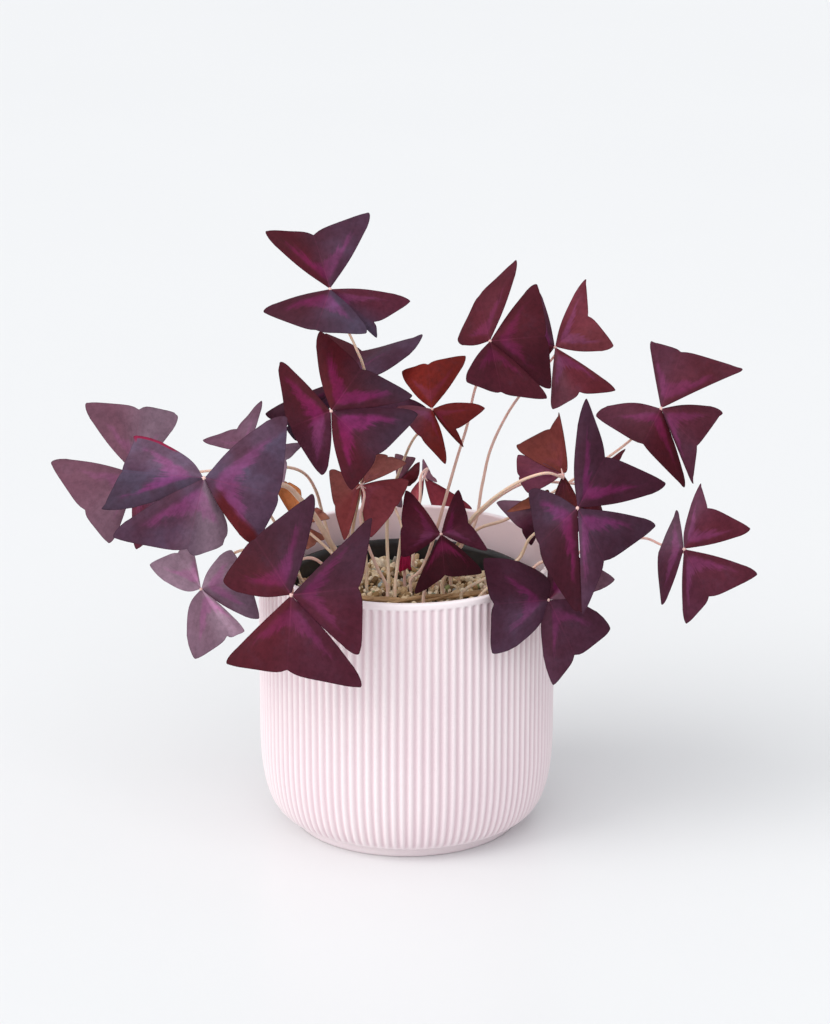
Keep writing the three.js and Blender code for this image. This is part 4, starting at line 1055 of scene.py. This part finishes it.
def rounded_tip(fine, nearness, tip):
    """The rim with its tip rounded off, brought back out to nearly its old reach."""
    window = np.hanning(TIP_ROUNDING * 2 + 1)
    window /= window.sum()
    padded = np.pad(fine, ((TIP_ROUNDING, TIP_ROUNDING), (0, 0)), mode="edge")
    smooth = np.stack([np.convolve(axis, window, mode="valid") for axis in padded.T], 1)
    weight = np.exp(-(nearness / TIP_ROUNDING_SPREAD) ** 2)[:, None]
    lost = fine[tip] - smooth[tip]
    return fine + weight * (smooth - fine) + weight * lost * TIP_KEPT


def rim_points(margin, side):
    """Points of the rim, closer together round the tip, and how far round each one is."""
    rim = [(1.0, 0.0)]
    for step in MARGIN_STEPS:
        full = margin * MARGIN_FULLNESS * (1 - abs(2 * step - 1) ** MARGIN_SQUARENESS) / 2
        rim.append((1 - step + full, step + full))
    rim += [*TIP_POINTS, *[(along * side, across) for along, across in SIDE_POINTS]]
    fine = smooth_line([(along, across, 0) for along, across in rim], FINE_POINTS)[:, :2]
    shares = np.linspace(0, 1, len(fine))
    tip = int(np.argmax(fine[:, 1]))
    nearness = shares - shares[tip]
    fine = rounded_tip(fine, nearness, tip)
    crowding = np.cumsum(1 + TIP_CROWDING * np.exp(-(nearness / TIP_CROWDING_SPREAD) ** 2))
    crowding = (crowding - crowding[0]) / (crowding[-1] - crowding[0])
    warped = np.interp(np.linspace(0, 1, HALF_COLUMNS + 1), crowding, shares)
    return resample(warped, shares, fine), warped


def side_bulge(ring, shares, side):
    """How far the rows of a half reach past its side, less a little so that a gap shows
    between one leaflet and the next."""
    full = -SIDE_BULGE * side * math.sin(math.pi * ring ** 1.1) * smooth_step(0.35, 1.0, shares) ** 1.3
    return full + SIDE_GAP * math.sin(math.pi * ring) ** 0.5 * smooth_step(0.75, 1.0, shares)


def triangle_normal(a, b, c):
    return unit(np.cross(b - a, c - a))


def leaflet_halves(leaf, leaflet, hub):
    """The two halves of a leaflet, anticlockwise from above, and its notch."""
    hub_depth = float(np.dot(hub - VIEWPOINT, VIEW_FORWARD))
    shown = -1 if leaflet.get("under", leaf.get("under", False)) else 1
    tone = leaflet["tone"]
    tones = tone if isinstance(tone[0], tuple) else (tone, tone)
    halves = []
    reaches = []
    for which, (pixel, lean) in enumerate(zip(leaflet["tips"], leaflet["lean"])):
        flat = np.linalg.norm(point_at_depth(pixel, hub_depth) - hub)
        reach = lean * math.sqrt(max(0.0, leaf["reach"] ** 2 - flat ** 2))
        reaches.append(reach)
        half = {key: leaflet.get(key, (usual, usual))[which]
                for key, usual in (("side", 1), ("margin", 1), ("trim", 0))}
        halves.append(dict(half, tip=point_at_depth(pixel, hub_depth + reach), tone=tones[which]))
    back = sum(reaches) * NOTCH_SHARE - shown * leaflet.get("fold", BLADE_FOLD)
    notch = point_at_depth(leaflet["notch"], hub_depth + back)
    first, second = [np.subtract(tip, leaf["hub"]) for tip in leaflet["tips"]]
    if (first[0] * second[1] - first[1] * second[0]) * shown > 0:
        halves.reverse()
    return halves, notch


def leaflet_surface(hub, halves, notch, draw):
    """The middle of a blade as a grid of points from the hub out (rows) and from one
    side to the other (columns), with each point's place on the blade."""
    sides = [triangle_normal(hub, halves[0]["tip"], notch), triangle_normal(hub, notch, halves[1]["tip"])]
    middle = unit(sides[0] + sides[1])
    rings = np.linspace(0, 1, RINGS + 1) ** RING_SPACING
    rings[0] = FIRST_RING
    grid = np.zeros((RINGS + 1, HALF_COLUMNS * 2 + 1, 3))
    place = np.zeros(grid.shape)
    for which, half in enumerate(halves):
        rim, shares = rim_points(half["margin"], half["side"])
        columns = HALF_COLUMNS + np.arange(HALF_COLUMNS + 1) * (1 if which else -1)
        blend = smooth_step(0, 0.2, shares)[:, None]
        normals = sides[which] * blend + middle * (1 - blend)
        normals /= np.linalg.norm(normals, axis=1, keepdims=True)
        waves = [(draw.uniform(2, 5), draw.uniform(0, TURN), draw.uniform(0.04, 0.16))
                 for _ in range(EDGE_WAVES)]
        for row, ring in enumerate(rings):
            along = rim[:, 0] * ring + side_bulge(ring, shares, half["side"])
            across = rim[:, 1] * ring
            lift = BLADE_DOME * math.sin(math.pi * ring) * np.sin(math.pi * shares)
            for pitch, phase, depth in waves:
                wave = depth * np.sin(pitch * shares * 2 + phase)
                lift = lift + wave * ring ** 3 * np.minimum(1, shares * 3)
            points = hub + np.outer(along, notch - hub) + np.outer(across, half["tip"] - hub)
            grid[row, columns] = points + normals * lift[:, None]
            place[row, columns, 0] = along
            place[row, columns, 1] = across
    outline = np.concatenate([grid[:, 0], grid[-1, 1:-1], grid[::-1, -1]])
    dense = [outline[:-1] + (outline[1:] - outline[:-1]) * share for share in (0.0, 0.25, 0.5, 0.75)]
    away = grid.reshape(-1, 1, 3) - np.concatenate(dense)
    place[:, :, 2] = np.min(np.linalg.norm(away, axis=2), axis=1).reshape(place.shape[:2])
    return grid, place, middle


def half_values(key, halves):
    """One value for each column of a leaflet's grid, which goes over from its one half's
    to the other's across the midrib."""
    first, second = [np.array(half[key], float) for half in halves]
    columns = np.arange(-HALF_COLUMNS, HALF_COLUMNS + 1)
    share = smooth_step(-TONE_BLEND, TONE_BLEND, columns)
    return first + np.multiply.outer(share, second - first)


def add_leaflet(build, hub, halves, notch, strength, draw):
    grid, place, middle = leaflet_surface(hub, halves, notch, draw)
    columns = grid.shape[1]
    normals = np.cross(np.gradient(grid, axis=0), np.gradient(grid, axis=1))
    normals /= np.maximum(np.linalg.norm(normals, axis=2, keepdims=True), 1e-9)
    normals *= np.sign((normals * middle).sum(2).mean())
    normals[0] = middle
    thick = BLADE_THICKNESS * (0.45 + 0.55 * smooth_step(0, EDGE_TAPER, place[:, :, 2]))[..., None]
    upper = (grid + normals * thick / 2).reshape(-1, 3)
    lower = (grid - normals * thick / 2).reshape(-1, 3)
    total = len(upper)

    # the columns run anticlockwise seen from above, or clockwise
    sample = np.cross(grid[3, 10] - grid[2, 10], grid[2, 11] - grid[2, 10])
    forward = np.dot(sample, middle) > 0
    faces, slots = [], []

    def face(corners, slot):
        faces.append(tuple(corners) if forward else tuple(corners)[::-1])
        slots.append(slot)

    at = np.arange(total).reshape(RINGS + 1, columns)
    for row in range(RINGS):
        for column in range(columns - 1):
            quad = [at[row, column], at[row + 1, column], at[row + 1, column + 1], at[row, column + 1]]
            face(quad, 0)
            face([i + total for i in quad[::-1]], 1)
    border = [*at[:, 0], *at[-1, 1:], *at[-2::-1, -1], *at[0, -2:0:-1]]
    for index, here in enumerate(border):
        after = border[(index + 1) % len(border)]
        face([here, here + total, after + total, after], 0)
    face(at[0, ::-1], 0)
    face(at[0] + total, 1)

    own = draw.uniform(0, 40)
    mine = [np.full(columns, strength), np.full(columns, own), half_values("trim", halves)]
    rows = (RINGS + 1) * 2
    build.add(np.concatenate([upper, lower]), faces, slots,
              leaf_place=np.concatenate([place.reshape(-1, 3)] * 2),
              leaf_tone=np.tile(half_values("tone", halves), (rows, 1)),
              leaf_own=np.tile(np.stack(mine, 1), (rows, 1)))


def add_joint(build, vertices, faces):
    """A part of the joint, in the third material, which needs none of a blade's values."""
    empty = np.zeros(3)
    build.add(vertices, faces, 2, leaf_place=empty, leaf_tone=empty, leaf_own=empty)


def make_leaf(leaf, seed):
    draw = random.Random(seed)
    hub = point_at_y(leaf["hub"], leaf["y"])
    blades = [leaflet_halves(leaf, leaflet, hub) for leaflet in leaf["leaflets"]]
    axis = unit(sum(triangle_normal(hub, halves[0]["tip"], halves[1]["tip"]) for halves, _ in blades))
    build = Build()
    for halves, notch in blades:
        add_leaflet(build, hub, halves, notch, leaf["mark"], draw)
        way = unit(notch - hub)
        stub = [hub - axis * 0.4, hub + way * 1.0 - axis * 0.35, hub + way * 2.8 - axis * 0.2]
        add_joint(build, *tube(smooth_line(stub, JOINT_POINTS), JOINT_RADII, sides=8))
    ball, ball_faces = icosphere(2)
    add_joint(build, ball * HUB_RADIUS + (hub - axis * HUB_DROP), ball_faces)
    build.piece(leaf["name"] + "_blades", [upper_blade, lower_blade, leaf_joint], slot="blade",
                stands_for=["leaf_" + leaf["name"]])
    make_stem(leaf, hub, axis, draw)


def make_stem(leaf, hub, axis, draw):
    x, y = leaf["root"]
    below = [np.array([x, y, z]) for z in UNDER_GRIT]
    above = [np.array([x, y, z]) for z in OVER_GRIT]
    before = hub - axis * leaf.get("straight", STEM_STRAIGHT_BELOW_HUB)
    passed = [np.array(place, float) for place in leaf.get("over", [])]
    passed += [point_at_y((across, down), depth) for across, down, depth in leaf.get("via", [])]
    if not passed:
        passed = [above[0] + (before - above[0]) * STEM_BEND]
    top = hub - axis * STEM_TOP_BELOW_HUB
    centres = np.vstack([below, smooth_line([*above, *passed, before, top], STEM_POINTS)])
    share = np.linspace(0, 1, len(centres))
    waves = np.sin(share * 40 + draw.uniform(0, 6))
    radii = STEM_FOOT_SHARE - STEM_TAPER * share + STEM_WAVE * waves
    vertices, faces = tube(centres, leaf.get("thickness", STEM_RADIUS) * radii, STEM_SIDES)
    own = draw.random()
    place = [[height, own, 0] for height in share for _ in range(STEM_SIDES)]
    make_piece(leaf["name"] + "_stem", vertices, faces, [stem_skin], attributes={"stem_place": place},
               slot="stem", stands_for=["stem_" + leaf["name"]])


def make_young_leaf():
    """A young leaf like a closed umbrella: three folded leaflets hang round its stalk."""
    x, y = YOUNG_LEAF_ROOT
    draw = random.Random(YOUNG_LEAF_SEED)
    top = GRIT_LEVEL + YOUNG_LEAF_STALK + YOUNG_LEAF_LENGTH
    build = Build()
    stalk = [(x, y, z) for z in (GRIT_LEVEL - 6, GRIT_LEVEL + 4, top - 3, top - 1)]
    add_joint(build, *tube(smooth_line(stalk, 16), np.linspace(0.8, 0.6, 16), sides=10))
    hub = np.array([x, y, top - 0.6])
    down = np.array([0, 0, -1.0])
    for index, share in enumerate(YOUNG_LEAFLET_SHARES):
        angle = index * TURN / 3 + YOUNG_LEAF_TURN
        length = YOUNG_LEAF_LENGTH * share
        outward = np.array([math.cos(angle), math.sin(angle), 0])
        sideways = np.array([-math.sin(angle), math.cos(angle), 0])
        notch = hub + outward * YOUNG_LEAF_RADIUS * YOUNG_NOTCH_OUT + down * (length * YOUNG_NOTCH_DOWN)
        halves = []
        for sign in (-1, 1):
            aside = sideways * sign * (YOUNG_TIP_ASIDE + draw.uniform(0, 0.9))
            tip = hub + outward * YOUNG_TIP_OUT + aside + down * (length - YOUNG_TIP_DRAWN_IN)
            halves.append(dict(tip=tip, tone=YOUNG_LEAF_TONE, side=1, margin=1, trim=0))
        add_leaflet(build, hub, halves, notch, YOUNG_LEAF_MARK, draw)
    build.piece("young_leaf_folded", [young_blade, young_blade, leaf_joint], slot="young_leaf",
                stands_for=["young_leaf"])


make_planter()
make_nursery_pot()
make_grit()
for index, spec in enumerate(DRY_STEMS):
    make_dry_stem(spec, DRY_STEM_SEED + index)
for index, leaf in enumerate(LEAVES):
    make_leaf(leaf, LEAF_SEED + index)
make_young_leaf()


# Floor, light and camera

FLOOR_RADIUS = 3500
FLOOR_LEVEL = -0.02
FLOOR_COLUMNS = 96


def make_floor():
    vertices, faces = lathe([(0, FLOOR_LEVEL), (FLOOR_RADIUS, FLOOR_LEVEL)], FLOOR_COLUMNS)
    mesh = bpy.data.meshes.new("floor")
    mesh.from_pydata((vertices * MM).tolist(), [], [face[::-1] for face in faces])
    mesh.materials.append(floor_material())
    floor = add_object("floor", mesh)


def sun(name, way, power, softness, tint=(1, 1, 1)):
    """Even light that comes along way, whose source looks softness degrees wide."""
    data = bpy.data.lights.new(name, "SUN")
    data.energy = power
    data.angle = math.radians(softness)
    data.color = tint
    lamp = add_object(name, data)
    flat = math.hypot(way[0], way[1])
    lamp.rotation_euler = (math.pi / 2 + math.atan2(way[2], flat), 0,
                           math.atan2(way[1], way[0]) - math.pi / 2)


def make_light():
    world = bpy.data.worlds.new("studio")
    bpy.context.scene.world = world
    world.use_nodes = True
    sky = world.node_tree.nodes["Background"]
    sky.inputs["Color"].default_value = (0.95, 0.97, 1.0, 1.0)
    sky.inputs["Strength"].default_value = 0.75
    sun("window", (0.84, 0.36, -0.6), power=1.22, softness=40, tint=(1.0, 0.99, 0.97))
    sun("front_fill", (0.15, 0.6, -0.78), power=1.2, softness=60)


def make_camera():
    data = bpy.data.cameras.new("camera")
    data.lens = PHOTO_FOCAL_PIXELS / max(PHOTO_SIZE) * data.sensor_width
    data.clip_start = 0.05
    data.clip_end = 50
    camera = add_object("camera", data)
    camera.location = VIEWPOINT * MM
    camera.rotation_euler = (math.pi / 2 - VIEW_PITCH, 0, 0)
    bpy.context.scene.camera = camera


make_floor()
make_light()
make_camera()
bpy.context.scene.view_settings.view_transform = "Standard"
bpy.context.scene.view_settings.look = "None"
